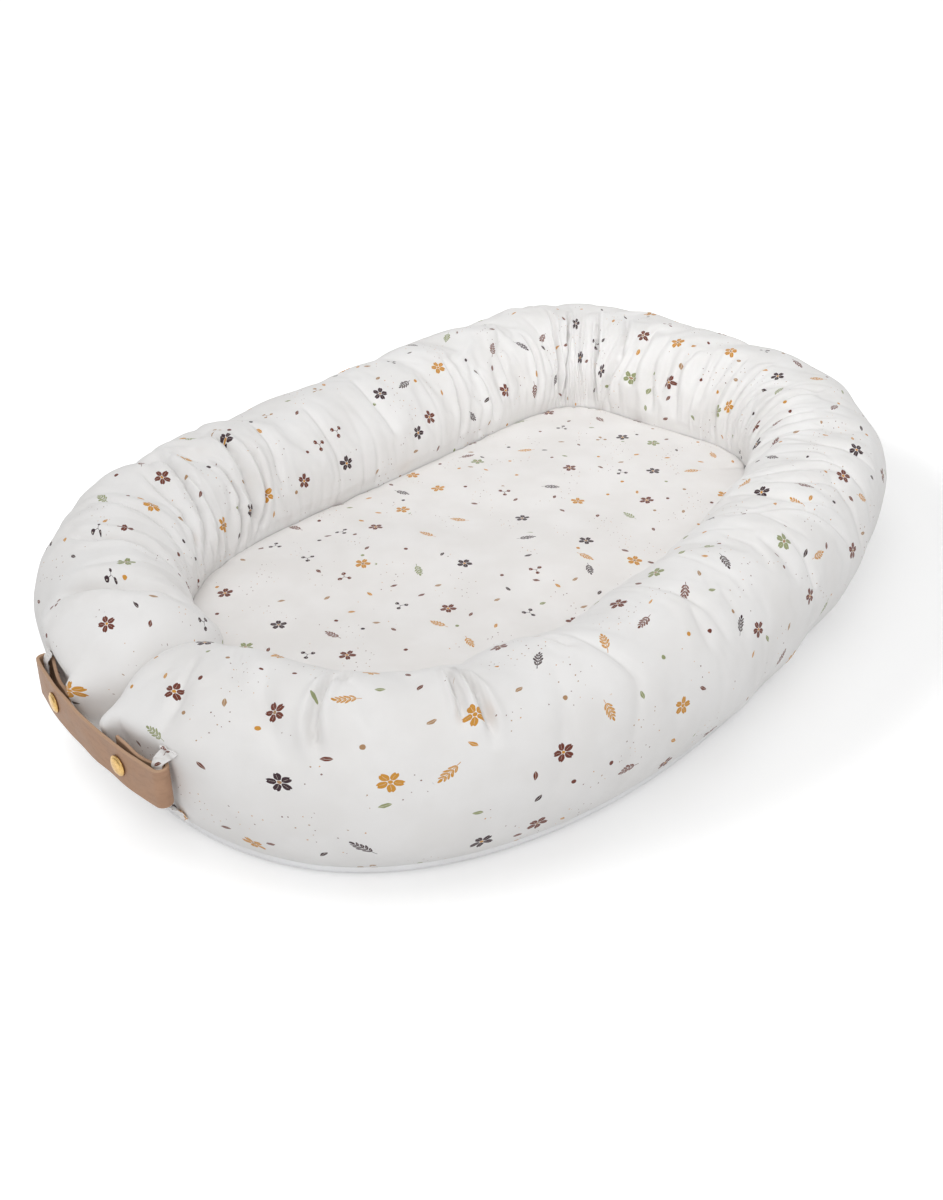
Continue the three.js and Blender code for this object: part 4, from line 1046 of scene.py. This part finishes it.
class Nodes:
    """Short calls that build the nodes of a material or a world."""

    def __init__(self, owner, kind="Material"):
        owner.use_nodes = True
        self.owner = owner
        self.tree = owner.node_tree
        self.tree.nodes.clear()
        self.output = self.tree.nodes.new("ShaderNodeOutput" + kind)

    def put(self, socket, value):
        if isinstance(value, Value):
            self.tree.links.new(value.socket, socket)
        elif value is not None:
            socket.default_value = value

    def make(self, kind, inputs=None, **settings):
        node = self.tree.nodes.new("ShaderNode" + kind)
        for key, value in settings.items():
            setattr(node, key, value)
        for key, value in (inputs or {}).items():
            self.put(node.inputs[key], value)
        return node

    def value(self, kind, inputs=None, output=0, **settings):
        """One output of a new node."""
        return Value(self, self.make(kind, inputs, **settings).outputs[output])

    def values(self, kind, inputs=None, **settings):
        """All outputs of a new node."""
        return [Value(self, socket) for socket in self.make(kind, inputs, **settings).outputs]

    def math(self, name, a, b=None):
        return self.value("Math", {0: a, 1: b}, operation=name)

    def coordinates(self, kind):
        return self.value("TexCoord", output=kind)

    def finish(self, surface):
        self.put(self.output.inputs["Surface"], surface)
        return self.owner

    def surface(self, color, roughness, normal=None, **more):
        inputs = {"Base Color": color, "Roughness": roughness, "Normal": normal}
        inputs.update({key.replace("_", " "): value for key, value in more.items()})
        return self.finish(self.value("BsdfPrincipled", inputs))


def mix(share, a, b):
    inputs = {"Factor": share, "A": a, "B": b}
    return share.nodes.value("Mix", inputs, "Result", data_type="RGBA")


RUST = (0.165, 0.040, 0.024, 1)
MUSTARD = (0.62, 0.29, 0.045, 1)
PLUM = (0.052, 0.026, 0.034, 1)
SAGE = (0.30, 0.33, 0.16, 1)
TAN = (0.42, 0.25, 0.13, 1)
CREAM = (0.86, 0.80, 0.70, 1)


def pick(value, *colors):
    """One of several colours by a random value."""
    node = value.nodes.make("ValToRGB", {"Fac": value})
    node.color_ramp.interpolation = "CONSTANT"
    elements = node.color_ramp.elements
    while len(elements) < len(colors):
        elements.new(0.5)
    for i, color in enumerate(colors):
        elements[i].position = i / len(colors)
        elements[i].color = color
    return Value(value.nodes, node.outputs["Color"])


def cell(point, size, randomness, offset):
    """Place in a scattered motif's own turned frame, in metres, its random values and distance."""
    shifted = point.vector("ADD", offset)
    inputs = {"Vector": shifted, "Scale": 1 / size, "Randomness": randomness}
    found = point.nodes.values("TexVoronoi", inputs, voronoi_dimensions="2D")
    distance, color, position = found[:3]
    values = point.nodes.values("SeparateColor", {"Color": color})
    inputs = {"Vector": shifted.vector("SUBTRACT", position), "Angle": values[0] * (2 * math.pi)}
    turned = point.nodes.value("VectorRotate", inputs, rotation_type="Z_AXIS")
    return turned, values, distance * size


def ellipse(x, y, middle, half_x, half_y):
    """1 on an ellipse's edge and less inside it."""
    return abs((x - middle) * (1 / half_x)) ** 2 + abs(y * (1 / half_y)) ** 2


def printed(point, cloth):
    """Scattered print on cloth of that colour: blossoms, sprigs, berries, leaves and specks."""
    wobble = point.noise(240.0, 1.0, dimensions="2D", output="Color")
    wobble = wobble.vector("SUBTRACT", (0.5, 0.5, 0.5)).scaled(0.0011, 0.0011, 0)
    point = point.vector("ADD", wobble)

    # Large motifs, on the scale of their radius
    place, values, distance = cell(point, 0.056, 0.82, (0.013, 0.027, 0))
    radius = 0.0074
    x, y, _ = place.scaled(1 / radius, 1 / radius, 0).parts()
    reach = (x * x + y * y).sqrt()
    heading = y.atan2(x)

    def petal_frame(count):
        turn = heading % (2 * math.pi / count) - math.pi / count
        return reach * turn.cos(), reach * turn.sin()

    # Blossom of five notched petals round a dotted eye
    a, b = petal_frame(5)
    notch = abs(b).ramp(0.0, 0.12, 0.10, 0.0) * a.ramp(0.7, 0.95)
    petal = (ellipse(a, b, 0.60, 0.40, 0.285) + notch * 6).below(1, 0.06)
    vein = abs(b).below(0.014, 0.010) * (a.ramp(0.26, 0.34) * a.ramp(0.72, 0.8, 1, 0))
    eye = reach.below(0.17, 0.02)

    # Sprig of leaflets in pairs along a stem
    steep, pitch = math.radians(42), 0.40
    beside = abs(y)
    foot = (x - beside * (1 / math.tan(steep)) + 0.9) * (1 / pitch)
    index = foot.floor()
    within = (foot - index - 0.5) * (pitch * math.sin(steep))
    out = beside * (1 / math.sin(steep))
    long = (0.66 - abs(index - 1.0) * 0.12).max(0.1)
    leaflet_x = ((out - (long * 0.5 + 0.05)) * (2.0 / long)) ** 2
    leaflet_y = (within * (1 / 0.115)) ** 2
    leaflet = (abs(leaflet_x) + leaflet_y).below(1, 0.12)
    leaflet = leaflet * (index.ramp(-0.6, -0.4) * index.ramp(3.4, 3.6, 1, 0))
    tip = ellipse(x, y, 1.02, 0.24, 0.12).below(1, 0.06)
    stem = beside.below(0.030, 0.015) * (x.ramp(-1.25, -1.2) * x.ramp(0.84, 0.88, 1, 0))
    rib = abs(within).below(0.014, 0.01) * out.ramp(0.1, 0.2)
    sprig = leaflet.max(tip).max(stem)
    sprig_line = leaflet * rib * out.ramp(0.42, 0.5, 1, 0)

    # Three berries on stalks
    a, b = petal_frame(3)
    berry = ellipse(a, b, 0.64, 0.25, 0.25).below(1, 0.1)
    shine = ellipse(a, b - 0.08, 0.70, 0.06, 0.06).below(1, 0.3)
    stalk = abs(b).below(0.032, 0.015) * a.ramp(0.42, 0.5, 1, 0)
    berries = berry.max(stalk)

    is_blossom = values[1] < 0.46
    is_berry = values[1] > 0.80
    is_sprig = 1.0 - is_blossom - is_berry
    hue = pick(values[2], RUST, MUSTARD, PLUM, RUST, SAGE, MUSTARD, PLUM, RUST)
    leaf_hue = pick(values[2], RUST, SAGE, PLUM, MUSTARD, RUST, SAGE, MUSTARD, PLUM)
    berry_hue = pick(values[2], PLUM, RUST, TAN, PLUM, RUST)
    color = mix(is_blossom * petal, cloth, mix(vein * 0.5, hue, CREAM))
    color = mix(is_blossom * eye, color, mix(values[2] < 0.5, TAN, MUSTARD))
    color = mix(is_sprig * sprig, color, mix(sprig_line * 0.6, leaf_hue, CREAM))
    color = mix(is_berry * berries, color, mix(shine * 0.7, berry_hue, CREAM))
    away = distance.ramp(0.0105, 0.0125)

    # Small leaves and single berries
    place, values, distance = cell(point, 0.0285, 0.85, (0.101, 0.057, 0))
    radius = 0.0036
    x, y, _ = place.scaled(1 / radius, 1 / radius, 0).parts()
    rim = (1.0 - x * x) * 0.42
    leaf = (rim - abs(y)).ramp(-0.03, 0.05) * abs(x).below(1.0, 0.02)
    rib = abs(y).below(0.035, 0.02) * 0.7
    berry = ((x * x + y * y) * 4.2).below(1, 0.2)
    is_leaf = values[1] < 0.66
    small = mix(is_leaf, berry, leaf) * (values[0] < 0.50) * away
    hue = pick(values[2], RUST, MUSTARD, TAN, MUSTARD, RUST, SAGE, PLUM)
    color = mix(small, color, mix(rib * is_leaf, hue, CREAM))
    away = away * distance.ramp(0.0045, 0.0055)

    # Specks in loose drifts
    place, values, distance = cell(point, 0.0068, 0.95, (0.003, 0.041, 0))
    drift = point.noise(24.0, 1.0, dimensions="2D").ramp(0.56, 0.64)
    size = 0.00028 + values[0] * 0.00030
    speck = (distance < size) * (values[1] < drift * 0.75) * away
    color = mix(speck * 0.85, color, pick(values[2], RUST, TAN, RUST, MUSTARD))
    return mix(point.noise(900.0, 3.0).ramp(0.45, 0.8, 0.0, 0.06), color, cloth)


def weave(point, size):
    """Height of a plain weave with threads size apart and thicker threads here and there."""
    x, y, _ = point.parts()
    per = 2 * math.pi / size
    slub_x = point.scaled(1.0, 18.0).noise(260.0, dimensions="2D")
    slub_y = point.scaled(18.0, 1.0).noise(260.0, dimensions="2D")
    return (x * per).sin() * (y * per).sin() * 0.35 + (slub_x + slub_y)


def new_material(name):
    """Node calls of a new material, with its uv and object coordinates."""
    n = Nodes(bpy.data.materials.new(name))
    return n, n.coordinates("UV"), n.coordinates("Object")


def cotton(name, cloth, with_print, crease=0.00025):
    n, uv, place = new_material(name)
    paler = tuple(min(1, c * 1.015) for c in cloth[:3]) + (1,)
    darker = tuple(c * s for c, s in zip(cloth[:3], (0.968, 0.962, 0.955))) + (1,)
    base = mix(place.noise(22.0, 3.0).ramp(0.3, 0.7), darker, paler)
    threads = weave(uv, 0.00042)
    base = mix(threads.ramp(0.7, 1.4, 0.0, 0.045), base, (0.60, 0.57, 0.53, 1))
    fine = place.noise(95.0, 4.0, 0.6)
    normal = fine.bump(crease, 0.5, threads.bump(0.00007, 0.55))
    color = printed(uv, base) if with_print else base
    return n.surface(color, fine.ramp(0.3, 0.7, 0.84, 0.94), normal, Sheen_Weight=0.25,
                     Sheen_Roughness=0.45, Specular_IOR_Level=0.25)


def leather():
    n, uv, place = new_material("tan_leather_grain")
    v = uv.parts()[1] % STRIP_ROUND
    across = v.min(abs(v - (2 * STRAP_WIDTH + STRIP_GAP)))
    edge = across.min(abs(across - STRAP_WIDTH))
    # Painted highlight: the rounded cut edges get a lighter tan than the face
    cut_edge_painted_highlight = edge.ramp(0.0006, 0.0013, 1.0, 0.0)
    back = v > STRAP_WIDTH + 0.001
    mottle = place.noise(60.0, 4.0, 0.6)
    streak = uv.scaled(0.35, 1.0).noise(300.0, 3.0, 0.6, "2D")
    color = mix(mottle.ramp(0.3, 0.7), (0.410, 0.240, 0.150, 1), (0.470, 0.280, 0.178, 1))
    color = mix(streak.ramp(0.45, 0.75, 0.0, 0.25), color, (0.27, 0.150, 0.090, 1))
    color = mix(back * 0.85, color, (0.36, 0.235, 0.155, 1))
    # Painted highlight along the cut edges
    color = mix(cut_edge_painted_highlight * 0.8, color, (0.52, 0.335, 0.215, 1))
    pores = n.values("TexVoronoi", {"Vector": place, "Scale": 1500.0}, feature="DISTANCE_TO_EDGE")
    grain = pores[0].ramp(0.0, 0.35) + place.noise(900.0) * 0.8
    normal = place.noise(140.0, 3.0).bump(0.00015, 0.3, grain.bump(0.00006, 0.5))
    roughness = mottle.ramp(0.3, 0.7, 0.50, 0.62) + back * 0.2
    return n.surface(color, roughness, normal, Specular_IOR_Level=0.4)


def metal(name, dark, light, roughness, brushed):
    n, _, place = new_material(name)
    tone = place.noise(420.0, 4.0, 0.6)
    scratch = place.scaled(1.0, 1.0, brushed).noise(1800.0, 3.0)
    normal = (scratch + tone * 0.7).bump(0.00003, 0.4)
    rough = scratch.ramp(0.3, 0.7, roughness * 0.8, roughness * 1.25)
    return n.surface(mix(tone.ramp(0.35, 0.7), dark, light), rough, normal, Metallic=1.0)


def twill_tape():
    n, uv, _ = new_material("zip_tape_weave")
    x, y, _ = uv.parts()
    ribs = ((x + y * 0.5) * (2 * math.pi / 0.0009)).sin()
    slub = uv.scaled(1.0, 6.0).noise(500.0, dimensions="2D")
    color = mix((ribs * 0.3 + slub).ramp(0.2, 0.9), (0.62, 0.605, 0.57, 1), (0.76, 0.745, 0.71, 1))
    normal = (ribs + slub).bump(0.0001, 0.6)
    return n.surface(color, slub.ramp(0.3, 0.7, 0.75, 0.9), normal, Sheen_Weight=0.2)


def nylon():
    n, _, place = new_material("zip_coil_nylon")
    tone = place.noise(300.0, 3.0)
    color = mix(tone.ramp(0.3, 0.7), (0.66, 0.645, 0.60, 1), (0.78, 0.765, 0.73, 1))
    normal = place.noise(2500.0).bump(0.00003, 0.4)
    return n.surface(color, tone.ramp(0.3, 0.7, 0.32, 0.45), normal)


PRINTED = cotton("printed_cotton_cloth", (0.865, 0.857, 0.851, 1), True)
# The mattress's copy of the printed cloth is warmer than the roll's: painted warm light bounced
# into the basin
MATTRESS_PRINTED_WARM_LIGHT = cotton("printed_mattress_cloth_painted_warm_light", (0.875, 0.857, 0.843, 1), True, 0.0002)
# White lining, partly painted light: set paler than its cloth is, so the base band shows bright in
# the shade under the roll
LINING_PAINTED_LIGHT = cotton("plain_lining_cloth_painted_light", (0.945, 0.95, 0.965, 1), False, 0.0002)
FOAM = cotton("foam_cover_cloth", (0.78, 0.76, 0.70, 1), False)
LEATHER_MATERIAL = leather()
BRASS = metal("aged_brass", (0.58, 0.37, 0.135, 1), (0.72, 0.49, 0.20, 1), 0.30, 1.0)
ZIP_METAL = metal("zip_alloy", (0.42, 0.42, 0.41, 1), (0.62, 0.62, 0.60, 1), 0.30, 6.0)
TAPE = twill_tape()
NYLON = nylon()


def paint(obj, material):
    obj.data.materials.clear()
    obj.data.materials.append(material)


def dress(obj, material, body, subdivided=False):
    paint(obj, material)
    if subdivided:
        modifier = obj.modifiers.new("subdivision", "SUBSURF")
        modifier.levels = modifier.render_levels = 1
    if body:
        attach(obj, body)


def flat_size(obj):
    points = np.array([v.co for v in obj.data.vertices])
    size = points.max(0) - points.min(0)
    return float(size[0]), float(size[1])


dress(roll, PRINTED, "nest")
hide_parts("bolster_cover", "bolster_filling")

dress(foam, FOAM, "nest")
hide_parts("mattress_pad")
dress(panel, MATTRESS_PRINTED_WARM_LIGHT, "nest", True)
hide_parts("mattress_top_panel")
flat_size(panel)

dress(base, LINING_PAINTED_LIGHT, "nest")
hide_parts("base_panel")
flat_size(base)

for word, (tape, coil) in zips.items():
    dress(tape, TAPE, "nest")
    dress(coil, NYLON, "nest")
    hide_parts("zip_tape_" + word)

dress(band, LEATHER_MATERIAL, "strap")
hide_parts("strap_band")
for word, (loop, loop_start, loop_end, loop_length) in loops.items():
    dress(tails[word], LEATHER_MATERIAL, "tail_" + word)
    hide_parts("strap_tail_" + word)
    dress(caps[word], BRASS, "strap")
    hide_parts("snap_cap_" + word)
    dress(loop, PRINTED, None, True)
    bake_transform(loop)
    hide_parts("belt_loop_" + word)

for name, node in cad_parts.items():
    if name.startswith(("snap_socket", "snap_stud", "snap_rivet")):
        paint(node, BRASS)
    if name.startswith(("zip_stop", "zip_slider", "zip_pull")):
        paint(node, ZIP_METAL)

# Floor, light and camera. The floor glows for the camera, which makes it white. Within an ellipse
# round the lounger, set off towards +X and +Y, it glows less: a painted shadow, darker than the
# lights' own shadow there. From the ellipse's edge outwards the glow rises to its far level.
FLOOR_HALF, FLOOR_DROP = 14.0, 0.0004
# Glow inside the painted shadow near the lounger, and glow of the plain floor far from it
PAINTED_SHADOW_GLOW, FAR_FLOOR_GLOW = 0.235, 0.65
PAINTED_SHADOW_MIDDLE, PAINTED_SHADOW_RADII, PAINTED_SHADOW_END = (0.06, 0.075), (0.30, 0.45), 1.40
AMBIENT = 0.56
CAMERA_TARGET, CAMERA_DISTANCE = Vector((-0.00672, -0.03703, 0.0)), 1.20546
CAMERA_AZIMUTH, CAMERA_ELEVATION = math.radians(41.194), math.radians(30.404)
CAMERA_LENS, CAMERA_SENSOR = 38.297, 36


def floor_material():
    n, _, place = new_material("pale_floor_with_painted_shadow")
    color = mix(place.noise(3.0, 3.0).ramp(0.3, 0.7), (0.80, 0.80, 0.80, 1), (0.81, 0.81, 0.81, 1))
    rays = n.make("LightPath").outputs
    camera, glossy, clear = (Value(n, rays[f"Is {kind} Ray"])
                             for kind in ("Camera", "Glossy", "Transmission"))
    x, y = ((part - middle) * (1 / radius)
            for part, middle, radius in zip(place.parts(), PAINTED_SHADOW_MIDDLE, PAINTED_SHADOW_RADII))
    # Painted shadow: the glow is lower near the lounger, which darkens the floor there
    glow_with_painted_shadow = (x * x + y * y).sqrt().ramp(1.0, PAINTED_SHADOW_END, PAINTED_SHADOW_GLOW, FAR_FLOOR_GLOW)
    strength = camera.max(glossy.max(clear)) * glow_with_painted_shadow
    diffuse = n.value("BsdfDiffuse", {"Color": color})
    emission = n.value("Emission", {"Color": (1, 1, 1, 1), "Strength": strength})
    return n.finish(n.value("AddShader", {0: diffuse, 1: emission}))


corners = [(x * FLOOR_HALF, y * FLOOR_HALF, 0) for x, y in ((-1, -1), (1, -1), (1, 1), (-1, 1))]
floor = make_mesh("studio_floor", corners, [(0, 1, 2, 3)], smooth=False)
floor.location.z = -FLOOR_DROP
floor.data.materials.append(floor_material())

n = Nodes(bpy.data.worlds.new("studio"), "World")
rays = n.make("LightPath").outputs
seen = Value(n, rays["Is Camera Ray"]).max(Value(n, rays["Is Transmission Ray"]))
level = n.value("MapRange", {"Value": seen, "To Min": AMBIENT, "To Max": 1.0})
background = n.value("Background", {"Color": (1, 1, 1, 1), "Strength": level})
bpy.context.scene.world = n.finish(background)


def area_light(name, place, target, size, power):
    light = bpy.data.lights.new(name, "AREA")
    light.shape = "RECTANGLE"
    light.size, light.size_y = size
    light.energy = power
    obj = bpy.data.objects.new(name, light)
    obj.location = place
    obj.rotation_euler = (Vector(target) - Vector(place)).to_track_quat("-Z", "Y").to_euler()
    bpy.context.scene.collection.objects.link(obj)
    return light


area_light("key", (1.2, -1.5, 1.65), (0, 0, 0.05), (1.8, 1.4), 15.1)
area_light("top", (-0.15, -0.1, 2.4), (0, 0, 0.05), (1.8, 1.8), 9.9)
head_light = area_light("head", (0.7, -0.7, 1.15), (-0.12, 0.34, 0.07), (0.5, 0.5), 0.20)
head_light.spread = math.radians(26)

backwards = Vector((math.sin(CAMERA_AZIMUTH) * math.cos(CAMERA_ELEVATION),
                    -math.cos(CAMERA_AZIMUTH) * math.cos(CAMERA_ELEVATION),
                    math.sin(CAMERA_ELEVATION)))
camera_data = bpy.data.cameras.new("camera")
camera_data.sensor_fit = "VERTICAL"
camera_data.sensor_height = CAMERA_SENSOR
camera_data.lens = CAMERA_LENS
camera_data.clip_end = 100
camera = bpy.data.objects.new("camera", camera_data)
camera.location = CAMERA_TARGET + backwards * CAMERA_DISTANCE
camera.rotation_euler = (-backwards).to_track_quat("-Z", "Y").to_euler()
bpy.context.scene.collection.objects.link(camera)
bpy.context.scene.camera = camera

bpy.context.scene.view_settings.view_transform = "Standard"
